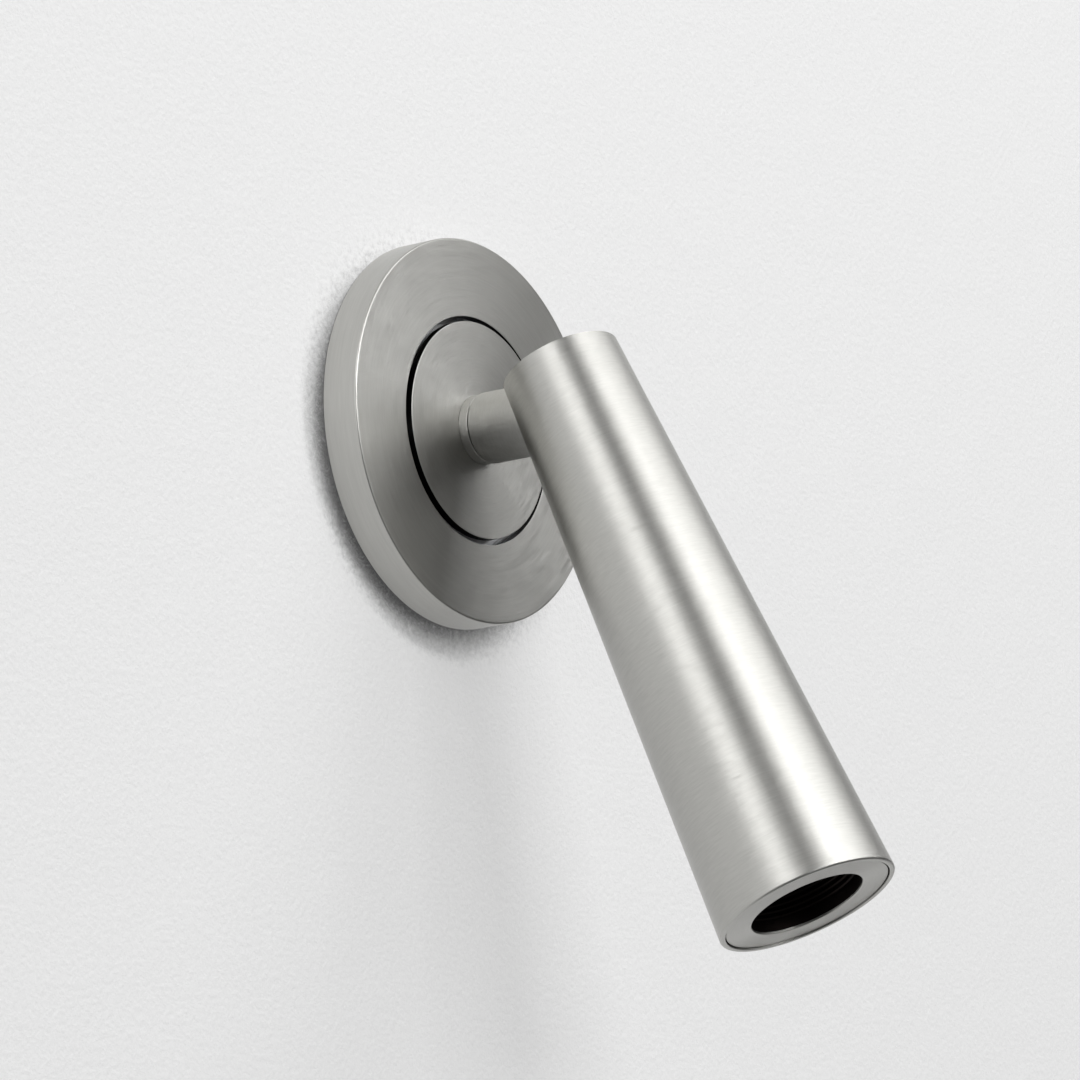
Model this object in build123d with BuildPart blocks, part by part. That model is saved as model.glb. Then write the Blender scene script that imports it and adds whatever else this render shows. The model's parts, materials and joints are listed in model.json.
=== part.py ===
from build123d import *

import os
from math import cos, radians, sin

# Swivelling LED tube wall light, in millimetres. The wall is the plane y = 0, the room is towards -Y and +Z
# is up. The origin is the centre of the round rose, on the wall. The stored pose is the pictured one.

# ---- Driving dimensions: what shows ----
ROSE_D = 88.0  # cover ring, outside
ROSE_T = 9.2  # cover ring's face, out from the wall
RING_BORE_D = 52.2  # the ring's opening around the inner disc
DISC_D = 49.7
DISC_FACE = 9.9  # disc's face, out from the wall
DISC_T = 2.0
COLLAR_D = 15.8
COLLAR_FACE = 12.28  # collar's front, out from the wall
STEM_D = 16.2
SWIVEL_GAP = 0.3  # joint line between collar and stem
PIVOT_OUT = 38.2  # tilt pivot, out from the wall
HEAD_LEAN = 23.31  # degrees that the head stands out from hanging straight down
HEAD_RISE = 12.07  # head's top end, above the tilt pivot along the head
HEAD_L = 138.5
HEAD_TOP_D = 27.5
HEAD_END_D = 41.0
SEAT_D = 38.4  # seat of the bezel ring, inside the head's lip
BEZEL_D = 37.9
LIGHT_D = 26.0  # the opening that the light comes out of
BEZEL_SUNK = 0.33  # bezel's face, in from the lip

# ---- Driving dimensions: wall fixing ----
WALL_SCREW_SPACING = 60.0  # the two screws of a round wall box
SLOT_W = 4.5
SLOT_L = 9.0
BRACKET_D = 75.0
BRACKET_T = 1.5
WIRING_WINDOW_D = 32.0
CARRIER_D = 76.0
CARRIER_T = 2.5
CARRIER_SCREW_PCD = 56.0
CARRIER_SCREW_TURN = 80.0  # degrees from +X to the first screw
CARRIER_SCREW_D = 3.0
CARRIER_SCREW_HEAD_D = 5.6
CARRIER_SCREW_HEAD_T = 1.9
BOSS_D = 40.0
RING_FACE_T = 2.2

# ---- Driving dimensions: swivel and tilt ----
SPINDLE_D = 10.0
SPINDLE_BORE = 6.0
SPINDLE_BEHIND = 3.4  # spindle's rear end, behind the wall's surface
NECK_D = 13.8  # collar's threaded neck
BUSH_D = 11.96
POCKET_D = 26.0  # rear pocket in the carrier, for the swivel's washers
POCKET_FLOOR = 3.2  # out from the wall
STOP_R = 10.5  # radius at which the stop pin stands
STOP_PIN_D = 2.0
SHOULDER = 10.0  # stem's full diameter ends this far short of the pivot
TONGUE_T = 11.2
TONGUE_R = 7.5
PIN_D = 4.0
YOKE_GAP = 12.4  # between the yoke's ears
YOKE_SLOT_R = 8.0
EAR_R = 9.6  # the ears' reach into the stem's path
STEM_CLEAR = 0.3  # gap on each side of the stem in the head's slot
LEAD_D = 4.2
LEAD_WAY = 5.2  # slot through the knuckle that the lead bends in

# ---- Driving dimensions: inside the head, as heights along it from the pivot ----
SHELL_T = 1.8
SOCKET_D = 24.6  # bore at the top that holds the hinge yoke
CAP_T = 1.57
WEB_TOP = -20.0
WEB_T = 2.5
GROMMET_D = 8.0
CASE_TOP = -26.0
CASE_END = -61.5
CASE_D = 26.0
CASE_T = 1.2
SINK_TOP = -64.5
SINK_END = -92.0
SINK_BASE_T = 6.0
LENS_TOP = -95.6
HOLDER_END = -106.0
SEAT_TOP = -119.5
BEZEL_PLATE_T = 2.5
LED_LEAD_D = 1.6
LED_LEAD_AT = 7.0  # the LED's two leads, and square to them its two screws, off the middle
BOARD_HOLE_D = 2.8
SMALL_SCREW_D = 2.5  # the head's inner screws

# ---- Clearances ----
RUN = 0.05  # a part that turns in another
SEATED = 0.02  # a screwed or pressed part
SCREW_CLEAR = 0.2  # a screw's clearance hole

# ---- Planes and axes ----
lean = radians(HEAD_LEAN)
PIVOT = Vector(0, -PIVOT_OUT, 0)
WALL = Plane(origin=(0, 0, 0), x_dir=(1, 0, 0), z_dir=(0, -1, 0))  # x right, y up, z out
WALL_SECTION = Plane(origin=(0, 0, 0), x_dir=(1, 0, 0), z_dir=(0, 0, -1))  # x radius, y out
STEM_AXIS = Axis((0, 0, 0), (0, -1, 0))
REAR = Plane(origin=(0, 0, 0), x_dir=(0, 0, 1), z_dir=(-1, 0, 0))  # x up, y into the wall, z to the left
STEM_SIDE = Plane(origin=PIVOT, x_dir=(0, 1, 0), z_dir=(1, 0, 0))  # x to the wall, y up
HEAD = Plane(origin=PIVOT, x_dir=(1, 0, 0), z_dir=(0, sin(lean), cos(lean)))  # y to the wall, z up the head
HEAD_SECTION = Plane(origin=PIVOT, x_dir=(1, 0, 0), z_dir=-HEAD.y_dir)  # x radius, y up the head
HEAD_SIDE = Plane(origin=PIVOT, x_dir=HEAD.y_dir, z_dir=(1, 0, 0))  # x to the wall, y up the head
HEAD_AXIS = Axis(PIVOT, HEAD.z_dir)
PIN_SECTION = Plane(origin=PIVOT, x_dir=HEAD.y_dir, z_dir=-HEAD.z_dir)  # x radius, y along the pins
PIN_AXIS = Axis(PIVOT, (1, 0, 0))

# ---- Places that follow ----
HEAD_END = HEAD_RISE - HEAD_L
STEM_START = COLLAR_FACE + SWIVEL_GAP
STEM_END = PIVOT_OUT - SHOULDER
DISC_BACK = DISC_FACE - DISC_T
CARRIER_FACE = BRACKET_T + CARRIER_T
STEM_WAY_R = STEM_D / 2 + STEM_CLEAR
WEB_END = WEB_TOP - WEB_T
BEZEL_FACE = HEAD_END + BEZEL_SUNK
BAFFLE_END = BEZEL_FACE + BEZEL_PLATE_T
BEYOND = 40.0  # reach of a cut that runs out of the part


def shell_r(height):
    """Outside radius of the head at a height along it."""
    share = (HEAD_RISE - height) / HEAD_L
    return (HEAD_TOP_D + (HEAD_END_D - HEAD_TOP_D) * share) / 2


def bore_r(height):
    """Inside radius of the head's long tapered bore."""
    return shell_r(height) - SHELL_T


def turn(section, axis, outline, mode=Mode.ADD):
    """Turns a closed outline of (radius, place) points about an axis."""
    with BuildSketch(section) as face:
        with BuildLine():
            Polyline(*outline, close=True)
        make_face()
    revolve(face.sketch, axis=axis, mode=mode)


def ring(section, axis, bore, outer, start, end, mode=Mode.ADD):
    """A plain turned ring or disc, by its two radii and its two ends."""
    turn(section, axis, [(bore, start), (outer, start), (outer, end), (bore, end)], mode)


def rim(part, axis, end, which=-1):
    """The largest circle, or another by size, at one end of a turned part: 0 is the start, -1 the far end."""
    circles = part.edges().filter_by(GeomType.CIRCLE)
    return circles.group_by(axis)[end].sort_by(SortBy.RADIUS)[which]


def cross_slot(plane, place, head_d, depth):
    """Cuts a cross recess into a screw head, whose top lies on the plane; the plane faces into the screw."""
    with BuildSketch(plane) as cross:
        with Locations(place):
            Rectangle(0.6 * head_d, 0.13 * head_d)
            Rectangle(0.13 * head_d, 0.6 * head_d)
    extrude(cross.sketch, amount=depth, mode=Mode.SUBTRACT)


def tilt_way(radius, half_width, keep_r=0):
    """Cuts the flat-sided way that the stem needs as the head tilts, from square to the stem to in line."""
    with BuildSketch(HEAD_SIDE) as way:
        Circle(radius)
        with Locations((BEYOND / 2, 0)):
            Rectangle(BEYOND, 2 * radius)
        with Locations((0, BEYOND / 2)):
            Rectangle(2 * radius, BEYOND)
        with Locations((BEYOND / 2, BEYOND / 2)):
            Rectangle(BEYOND, BEYOND)
        if keep_r:
            Circle(keep_r, mode=Mode.SUBTRACT)
    extrude(way.sketch, amount=half_width, both=True, mode=Mode.SUBTRACT)


def stem_slot():
    """Cuts the slot for the round stem in the head's shell and cap: round at both ends of the tilt."""
    with Locations((0, BEYOND / 2, 0)):
        Cylinder(STEM_WAY_R, BEYOND, rotation=(90, 0, 0), mode=Mode.SUBTRACT)
    with Locations((0, 0, BEYOND / 2)):
        Cylinder(STEM_WAY_R, BEYOND, mode=Mode.SUBTRACT)
    with Locations((0, BEYOND / 2, BEYOND / 2)):
        Box(2 * STEM_WAY_R, BEYOND, BEYOND, mode=Mode.SUBTRACT)


def board_holes():
    """Cuts the holes for the LED's two leads and two screws through its board or pad."""
    with BuildSketch(HEAD.offset(SINK_END)) as holes:
        with PolarLocations(LED_LEAD_AT, 4):
            Circle(BOARD_HOLE_D / 2)
    extrude(holes.sketch, amount=-BEYOND, mode=Mode.SUBTRACT)


def pair(across, height):
    """The two places of a pair of screws in the head, to the left and right of its axis."""
    return (across, 0, height), (-across, 0, height)


# ======== Wall side: bracket, earth and terminals ========
TONGUE_W = 22.0
TONGUE_L = 19.6
TONGUE_FACE = 22.0  # the bracket's rear tongue stands this far right of the middle
WINDOW_W = 24.0
EARTH_AT = (-17.0, 17.0)
EARTH_SCREW_D = 4.0
EARTH_HEAD_D = 7.0
EARTH_HEAD_T = 2.4
RECESS_DEPTH = 1.2  # cross recess
EARTH_WASHER_D = 7.4
EARTH_WASHER_T = 0.6
RING_TERMINAL_D = 7.6
RING_TERMINAL_T = 0.8
BARREL_AT = (-10.5, 17.0)
BARREL_L = 4.0
BARREL_D = 3.0
EARTH_LEAD_D = 1.8
EARTH_LEAD_TURN_X = 2.0
EARTH_LEAD_IN_X = 15.0  # where the earth lead enters the top of the terminal block
EARTH_LEAD_IN_Y = 13.6
BLOCK_START = 8.6  # terminal block, behind the wall's surface
BLOCK_END = 18.6
BLOCK_TOP = 12.0  # its face towards the middle
BLOCK_W = 18.0
BLOCK_SCREW_Y = 11.0
BLOCK_SCREW_D = 3.0
BLOCK_SCREW_HEAD_D = 5.4
BLOCK_SCREW_HEAD_T = 1.8
BLOCK_SCREW_BITE = 5.5
POLE_PITCH = 5.6
POLE_HOLE_D = 3.4
POLE_HOLE_DEPTH = 4.0
POLE_ROW_Y = 16.2
POLE_SCREW_SUNK = 1.0
DRIVE_SLOT_L = 2.6
DRIVE_SLOT_W = 0.6
DRIVE_SLOT_DEPTH = 0.8
PORT_X = 17.6
PORT_D = 2.8
PORT_DEPTH = 5.5
PLUG_H = 5.0
PLUG_W = 16.0
PLUG_T = 4.8
LEAD_BEND = 7.0
LEAD_RUN = 0.6
LEAD_ACROSS_Y = SPINDLE_BEHIND + LEAD_RUN + LEAD_BEND  # where the supply lead runs to the right

with BuildPart(WALL) as wall_bracket:
    with BuildSketch(WALL):
        Circle(BRACKET_D / 2)
        Circle(WIRING_WINDOW_D / 2, mode=Mode.SUBTRACT)
        with Locations((TONGUE_FACE / 2, 0)):
            Rectangle(TONGUE_FACE, WINDOW_W, mode=Mode.SUBTRACT)
        with GridLocations(WALL_SCREW_SPACING, 0, 2, 1):
            SlotOverall(SLOT_L, SLOT_W, mode=Mode.SUBTRACT)
        with PolarLocations(CARRIER_SCREW_PCD / 2, 3, start_angle=CARRIER_SCREW_TURN):
            Circle(CARRIER_SCREW_D / 2 + SEATED, mode=Mode.SUBTRACT)
        with Locations(EARTH_AT):
            Circle(EARTH_SCREW_D / 2 + SEATED, mode=Mode.SUBTRACT)
    extrude(amount=BRACKET_T)
    with BuildSketch(WALL):
        with Locations((TONGUE_FACE + BRACKET_T / 2, 0)):
            Rectangle(BRACKET_T, TONGUE_W)
    extrude(amount=-TONGUE_L)
    fillet(wall_bracket.edges().filter_by(Axis.X).group_by(Axis.Y)[-1], radius=3)
    with BuildSketch(REAR.offset(-TONGUE_FACE)):
        with Locations((0, BLOCK_SCREW_Y)):
            Circle(BLOCK_SCREW_D / 2 + SCREW_CLEAR)
    extrude(amount=-BRACKET_T, mode=Mode.SUBTRACT)

with BuildPart(WALL) as earth_ring_terminal:
    with BuildSketch(WALL):
        with Locations(EARTH_AT):
            Circle(RING_TERMINAL_D / 2)
        with Locations(((EARTH_AT[0] + BARREL_AT[0]) / 2, EARTH_AT[1])):
            Rectangle(BARREL_AT[0] - EARTH_AT[0], BARREL_D)
        with Locations(EARTH_AT):
            Circle(EARTH_SCREW_D / 2 + RUN, mode=Mode.SUBTRACT)
    extrude(amount=-RING_TERMINAL_T)
    with Locations((*BARREL_AT, -BARREL_D / 2)):
        Cylinder(BARREL_D / 2, BARREL_L, rotation=(0, 90, 0))

with BuildPart(WALL) as earth_washer:
    with BuildSketch(WALL.offset(-RING_TERMINAL_T)):
        with Locations(EARTH_AT):
            Circle(EARTH_WASHER_D / 2)
            Circle(EARTH_SCREW_D / 2 + RUN, mode=Mode.SUBTRACT)
    extrude(amount=-EARTH_WASHER_T)

with BuildPart(WALL) as earth_screw:
    with BuildSketch(WALL.offset(BRACKET_T)):
        with Locations(EARTH_AT):
            Circle(EARTH_SCREW_D / 2)
    extrude(amount=-BRACKET_T - RING_TERMINAL_T - EARTH_WASHER_T)
    with BuildSketch(WALL.offset(-RING_TERMINAL_T - EARTH_WASHER_T)):
        with Locations(EARTH_AT):
            Circle(EARTH_HEAD_D / 2)
    extrude(amount=-EARTH_HEAD_T)
    fillet(rim(earth_screw, Axis.Y, -1), radius=0.8)
    head_top = WALL.offset(-RING_TERMINAL_T - EARTH_WASHER_T - EARTH_HEAD_T)
    cross_slot(head_top, EARTH_AT, EARTH_HEAD_D, RECESS_DEPTH)

with BuildPart() as earth_lead:
    with BuildLine() as earth_path:
        FilletPolyline(
            (BARREL_AT[0] + BARREL_L / 2, BARREL_D / 2, EARTH_AT[1]),
            (EARTH_LEAD_TURN_X, BARREL_D / 2, EARTH_AT[1]),
            (EARTH_LEAD_IN_X, EARTH_LEAD_IN_Y, EARTH_AT[1]),
            (EARTH_LEAD_IN_X, EARTH_LEAD_IN_Y, BLOCK_W / 2),
            radius=[8, 3.5],
        )
    with BuildSketch(Plane(origin=earth_path.line @ 0, z_dir=earth_path.line % 0)):
        Circle(EARTH_LEAD_D / 2)
    sweep()

with BuildPart() as terminal_block:
    with BuildSketch(REAR.offset(-TONGUE_FACE)):
        with Locations((0, (BLOCK_START + BLOCK_END) / 2)):
            Rectangle(BLOCK_W, BLOCK_END - BLOCK_START)
    extrude(amount=TONGUE_FACE - BLOCK_TOP)
    fillet(terminal_block.edges().filter_by(Axis.X), radius=0.6)
    with BuildSketch(REAR.offset(-BLOCK_TOP)):
        with Locations((0, POLE_ROW_Y)):
            with GridLocations(POLE_PITCH, 0, 3, 1):
                Circle(POLE_HOLE_D / 2)
    extrude(amount=-POLE_HOLE_DEPTH, mode=Mode.SUBTRACT)
    with BuildSketch(WALL.offset(-BLOCK_END)):
        with Locations((PORT_X, 0)):
            with GridLocations(0, POLE_PITCH, 1, 3):
                Circle(PORT_D / 2)
    extrude(amount=PORT_DEPTH, mode=Mode.SUBTRACT)
    with BuildSketch(REAR.offset(-TONGUE_FACE)):
        with Locations((0, BLOCK_SCREW_Y)):
            Circle(BLOCK_SCREW_D / 2 + SEATED)
    extrude(amount=BLOCK_SCREW_BITE + 0.5, mode=Mode.SUBTRACT)

with BuildPart() as terminal_screws:
    with BuildSketch(REAR.offset(-BLOCK_TOP - POLE_HOLE_DEPTH)):
        with Locations((0, POLE_ROW_Y)):
            with GridLocations(POLE_PITCH, 0, 3, 1):
                Circle(POLE_HOLE_D / 2 - SEATED)
    extrude(amount=POLE_HOLE_DEPTH - POLE_SCREW_SUNK)
    with BuildSketch(REAR.offset(-BLOCK_TOP - POLE_SCREW_SUNK)):
        with Locations((0, POLE_ROW_Y)):
            with GridLocations(POLE_PITCH, 0, 3, 1):
                Rectangle(DRIVE_SLOT_L, DRIVE_SLOT_W)
    extrude(amount=-DRIVE_SLOT_DEPTH, mode=Mode.SUBTRACT)

with BuildPart() as terminal_block_screw:
    with BuildSketch(REAR.offset(-TONGUE_FACE - BRACKET_T)):
        with Locations((0, BLOCK_SCREW_Y)):
            Circle(BLOCK_SCREW_HEAD_D / 2)
    extrude(amount=-BLOCK_SCREW_HEAD_T)
    fillet(rim(terminal_block_screw, Axis.X, -1), radius=0.6)
    with BuildSketch(REAR.offset(-TONGUE_FACE - BRACKET_T)):
        with Locations((0, BLOCK_SCREW_Y)):
            Circle(BLOCK_SCREW_D / 2)
    extrude(amount=BRACKET_T + BLOCK_SCREW_BITE)
    head_top = REAR.offset(-TONGUE_FACE - BRACKET_T - BLOCK_SCREW_HEAD_T)
    cross_slot(head_top, (0, BLOCK_SCREW_Y), BLOCK_SCREW_HEAD_D, RECESS_DEPTH)

with BuildPart() as lead_plug:
    with BuildSketch(REAR.offset(-BLOCK_TOP)):
        with Locations((0, LEAD_ACROSS_Y)):
            Rectangle(PLUG_W, PLUG_T)
    extrude(amount=PLUG_H)
    chamfer(lead_plug.edges().group_by(Axis.X)[0], length=0.5)

with BuildPart() as supply_lead:
    with BuildLine(Plane.XY) as supply_path:
        first_run = Line((0, SPINDLE_BEHIND), (0, SPINDLE_BEHIND + LEAD_RUN))
        JernArc(start=first_run @ 1, tangent=first_run % 1, radius=LEAD_BEND, arc_size=-90)
    with BuildSketch(Plane(origin=supply_path.line @ 0, z_dir=supply_path.line % 0)):
        Circle(LEAD_D / 2)
    sweep()

# ======== Rose: carrier, cover ring, disc and collar ========
SCREW_HEAD_WINDOW_L = 13.5  # room in the carrier for the heads of the wall's screws
SCREW_HEAD_WINDOW_W = 9.0
STOP_PIN_START = 1.3
STOP_PIN_END = 5.9
STOP_HOLE_END = 6.0
HEX_ACROSS = 2.0  # carrier screws' hexagon socket
HEX_DEPTH = 1.2
THRUST_WASHER_D = 14.4
JOINT_CLEAR = 0.03

with BuildPart(WALL) as carrier_plate:
    turn(
        WALL_SECTION,
        STEM_AXIS,
        [
            (NECK_D / 2 + SEATED, POCKET_FLOOR),
            (POCKET_D / 2, POCKET_FLOOR),
            (POCKET_D / 2, BRACKET_T),
            (CARRIER_D / 2, BRACKET_T),
            (CARRIER_D / 2, CARRIER_FACE),
            (BOSS_D / 2, CARRIER_FACE),
            (BOSS_D / 2, DISC_BACK),
            (NECK_D / 2 + SEATED, DISC_BACK),
        ],
    )
    with BuildSketch(WALL):
        with GridLocations(WALL_SCREW_SPACING, 0, 2, 1):
            SlotOverall(SCREW_HEAD_WINDOW_L, SCREW_HEAD_WINDOW_W)
        with PolarLocations(CARRIER_SCREW_PCD / 2, 3, start_angle=CARRIER_SCREW_TURN):
            Circle(CARRIER_SCREW_D / 2 + SCREW_CLEAR)
        with Locations((0, STOP_R)):
            Circle(STOP_PIN_D / 2 + SEATED)
    extrude(amount=STOP_HOLE_END, mode=Mode.SUBTRACT)

with BuildPart(WALL) as stop_pin:
    with BuildSketch(WALL.offset(STOP_PIN_START)):
        with Locations((0, STOP_R)):
            Circle(STOP_PIN_D / 2)
    extrude(amount=STOP_PIN_END - STOP_PIN_START)

with BuildPart(WALL) as carrier_screws:
    with BuildSketch(WALL):
        with PolarLocations(CARRIER_SCREW_PCD / 2, 3, start_angle=CARRIER_SCREW_TURN):
            Circle(CARRIER_SCREW_D / 2)
    extrude(amount=CARRIER_FACE)
    with BuildSketch(WALL.offset(CARRIER_FACE)):
        with PolarLocations(CARRIER_SCREW_PCD / 2, 3, start_angle=CARRIER_SCREW_TURN):
            Circle(CARRIER_SCREW_HEAD_D / 2)
    extrude(amount=CARRIER_SCREW_HEAD_T)
    fillet(carrier_screws.edges().filter_by(GeomType.CIRCLE).group_by(STEM_AXIS)[-1], radius=0.7)
    with BuildSketch(WALL.offset(CARRIER_FACE + CARRIER_SCREW_HEAD_T)):
        with PolarLocations(CARRIER_SCREW_PCD / 2, 3, start_angle=CARRIER_SCREW_TURN):
            RegularPolygon(radius=HEX_ACROSS / 2, side_count=6, major_radius=False)
    extrude(amount=-HEX_DEPTH, mode=Mode.SUBTRACT)

with BuildPart() as rose_ring:
    turn(
        WALL_SECTION,
        STEM_AXIS,
        [
            (CARRIER_D / 2 + RUN, 0),
            (ROSE_D / 2, 0),
            (ROSE_D / 2, ROSE_T),
            (RING_BORE_D / 2, ROSE_T),
            (RING_BORE_D / 2, ROSE_T - RING_FACE_T),
            (CARRIER_D / 2 + RUN, ROSE_T - RING_FACE_T),
        ],
    )
    chamfer(rim(rose_ring, STEM_AXIS, -1), length=0.4)
    chamfer(rim(rose_ring, STEM_AXIS, -1, 0), length=0.2)
    chamfer(rim(rose_ring, STEM_AXIS, 0), length=0.3)

with BuildPart() as inner_disc:
    ring(WALL_SECTION, STEM_AXIS, NECK_D / 2 + RUN, DISC_D / 2, DISC_BACK, DISC_FACE)
    chamfer(rim(inner_disc, STEM_AXIS, -1), length=0.3)

with BuildPart() as base_collar:
    ring(WALL_SECTION, STEM_AXIS, BUSH_D / 2 + SEATED, NECK_D / 2, POCKET_FLOOR, DISC_FACE)
    ring(WALL_SECTION, STEM_AXIS, BUSH_D / 2 + SEATED, COLLAR_D / 2, DISC_FACE, COLLAR_FACE)
    chamfer(rim(base_collar, STEM_AXIS, -1), length=0.25)

with BuildPart() as swivel_bush:
    ring(WALL_SECTION, STEM_AXIS, SPINDLE_D / 2 + RUN, BUSH_D / 2, POCKET_FLOOR, COLLAR_FACE)

with BuildPart() as thrust_washer:
    washer_end = STEM_START - JOINT_CLEAR
    ring(WALL_SECTION, STEM_AXIS, SPINDLE_D / 2 + RUN, THRUST_WASHER_D / 2, COLLAR_FACE, washer_end)

# ======== Stem: tube, spindle, stop, nuts and knuckle ========
SPINDLE_END = 20.0
PLUG_START = 20.5
PLUG_BORE_D = 12.0
STOP_WASHER_D = 16.0
STOP_WASHER_T = 1.0
SPRING_WASHER_D = 17.0
SPRING_WASHER_T = 0.65
NUT_ACROSS = 14.0
NUT_T = 2.2
KNUCKLE_CLEAR = 0.1  # inside the stem's outline
STOP_WASHER_FACE = BRACKET_T + STOP_WASHER_T
TAB_W = 2.2
TAB_R = 11.8

with BuildPart() as stem_tube:
    turn(
        WALL_SECTION,
        STEM_AXIS,
        [
            (SPINDLE_D / 2 + SEATED, STEM_START),
            (STEM_D / 2, STEM_START),
            (STEM_D / 2, STEM_END),
            (PLUG_BORE_D / 2, STEM_END),
            (PLUG_BORE_D / 2, PLUG_START),
            (SPINDLE_D / 2 + SEATED, PLUG_START),
        ],
    )
    chamfer(rim(stem_tube, STEM_AXIS, 0), length=0.25)
    chamfer(rim(stem_tube, STEM_AXIS, -1), length=0.3)

with BuildPart() as threaded_spindle:
    ring(WALL_SECTION, STEM_AXIS, SPINDLE_BORE / 2, SPINDLE_D / 2, -SPINDLE_BEHIND, SPINDLE_END)
    chamfer(rim(threaded_spindle, STEM_AXIS, 0), length=0.5)

with BuildPart() as spring_washer:
    washer_end = STOP_WASHER_FACE + SPRING_WASHER_T
    ring(WALL_SECTION, STEM_AXIS, SPINDLE_D / 2 + SEATED, SPRING_WASHER_D / 2, STOP_WASHER_FACE, washer_end)

with BuildPart(WALL) as stop_washer:
    with BuildSketch(WALL.offset(BRACKET_T)):
        Circle(STOP_WASHER_D / 2)
        with Locations((0, -TAB_R / 2)):
            Rectangle(TAB_W, TAB_R)
        Circle(SPINDLE_D / 2 + SEATED, mode=Mode.SUBTRACT)
    extrude(amount=STOP_WASHER_T)

with BuildPart(WALL) as spindle_nuts:
    for nut_face in (BRACKET_T, BRACKET_T - NUT_T - SEATED):
        with BuildSketch(WALL.offset(nut_face)):
            RegularPolygon(radius=NUT_ACROSS / 2, side_count=6, major_radius=False)
            Circle(SPINDLE_D / 2 + SEATED, mode=Mode.SUBTRACT)
        extrude(amount=-NUT_T)

with BuildPart() as knuckle:
    with BuildSketch(STEM_SIDE):
        Circle(TONGUE_R)
        with Locations((SHOULDER / 2, 0)):
            Rectangle(SHOULDER, 2 * TONGUE_R)
    extrude(amount=TONGUE_T / 2, both=True)
    tongue_r = STEM_D / 2 - KNUCKLE_CLEAR
    ring(WALL_SECTION, STEM_AXIS, 0, tongue_r, STEM_END, PIVOT_OUT + SHOULDER, Mode.INTERSECT)
    ring(WALL_SECTION, STEM_AXIS, 0, PLUG_BORE_D / 2 - SEATED, PLUG_START, STEM_END)
    ring(WALL_SECTION, STEM_AXIS, 0, LEAD_WAY / 2, PLUG_START, PIVOT_OUT, Mode.SUBTRACT)
    with BuildSketch(STEM_SIDE):
        with Locations((LEAD_WAY / 2, LEAD_WAY / 2)):
            Rectangle(BEYOND, BEYOND, align=(Align.MAX, Align.MAX))
    extrude(amount=LEAD_WAY / 2, both=True, mode=Mode.SUBTRACT)
    ring(PIN_SECTION, PIN_AXIS, 0, PIN_D / 2 + RUN, -TONGUE_T, TONGUE_T, Mode.SUBTRACT)

with BuildPart() as stem_lead:
    ring(WALL_SECTION, STEM_AXIS, 0, LEAD_D / 2, -SPINDLE_BEHIND, PIVOT_OUT)
    with Locations(PIVOT):
        Sphere(LEAD_D / 2)

# ======== Head: shell, cap and hinge yoke ========
YOKE_SCREW_AT = 8.6
YOKE_SCREW_HOLE_L = 18.0
YOKE_SCREW_L = 10.0
YOKE_SCREW_HEAD_D = 4.4
YOKE_SCREW_HEAD_T = 1.8
YOKE_TOP = HEAD_RISE - CAP_T
YOKE_LEAD_HOLE_D = 5.8
EAR_FACE = 9.7  # outer face of the ears under the pivot screws' heads, off the middle
PIVOT_SCREW_START = 2.9
PIVOT_HEAD_D = 7.0
PIVOT_HEAD_FACE = 11.6
PIVOT_HEX_ACROSS = 2.5
FRICTION_WASHER_D = 13.0
GROMMET_FLANGE_D = 10.8
GROMMET_FLANGE_T = 1.2
LEAD_BREAK = 0.2  # between the lead's ball end and the head's stretch
LEAD_IN_CASE = 2.5

with BuildPart(HEAD) as head_shell:
    turn(
        HEAD_SECTION,
        HEAD_AXIS,
        [
            (SOCKET_D / 2, HEAD_RISE),
            (shell_r(HEAD_RISE), HEAD_RISE),
            (shell_r(HEAD_END), HEAD_END),
            (SEAT_D / 2, HEAD_END),
            (SEAT_D / 2, SEAT_TOP),
            (bore_r(SEAT_TOP), SEAT_TOP),
            (bore_r(WEB_END), WEB_END),
            (GROMMET_D / 2, WEB_END),
            (GROMMET_D / 2, WEB_TOP),
            (SOCKET_D / 2, WEB_TOP),
        ],
    )
    fillet(rim(head_shell, HEAD_AXIS, -1), radius=0.7)
    fillet(rim(head_shell, HEAD_AXIS, 0), radius=0.4)
    with Locations(*pair(YOKE_SCREW_AT, WEB_TOP)):
        Cylinder(SMALL_SCREW_D / 2 + SCREW_CLEAR, 3 * WEB_T, mode=Mode.SUBTRACT)
    stem_slot()

with BuildPart(HEAD) as head_cap:
    ring(HEAD_SECTION, HEAD_AXIS, 0, SOCKET_D / 2 - SEATED, YOKE_TOP, HEAD_RISE)
    stem_slot()

with BuildPart(HEAD) as hinge_yoke:
    ring(HEAD_SECTION, HEAD_AXIS, 0, SOCKET_D / 2 - SEATED, WEB_TOP, YOKE_TOP)
    tilt_way(YOKE_SLOT_R, YOKE_GAP / 2)
    tilt_way(STEM_WAY_R, STEM_WAY_R, EAR_R)
    ring(HEAD_SECTION, HEAD_AXIS, 0, YOKE_LEAD_HOLE_D / 2, WEB_TOP, 0, Mode.SUBTRACT)
    ring(PIN_SECTION, PIN_AXIS, 0, PIN_D / 2 + SEATED, -SOCKET_D, SOCKET_D, Mode.SUBTRACT)
    for side in (-1, 1):
        counterbore_r = PIVOT_HEAD_D / 2 + 2 * RUN
        ring(PIN_SECTION, PIN_AXIS, 0, counterbore_r, side * EAR_FACE, side * SOCKET_D, Mode.SUBTRACT)
    with Locations(*pair(YOKE_SCREW_AT, WEB_TOP)):
        Cylinder(SMALL_SCREW_D / 2 + SEATED, YOKE_SCREW_HOLE_L, mode=Mode.SUBTRACT)

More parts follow.
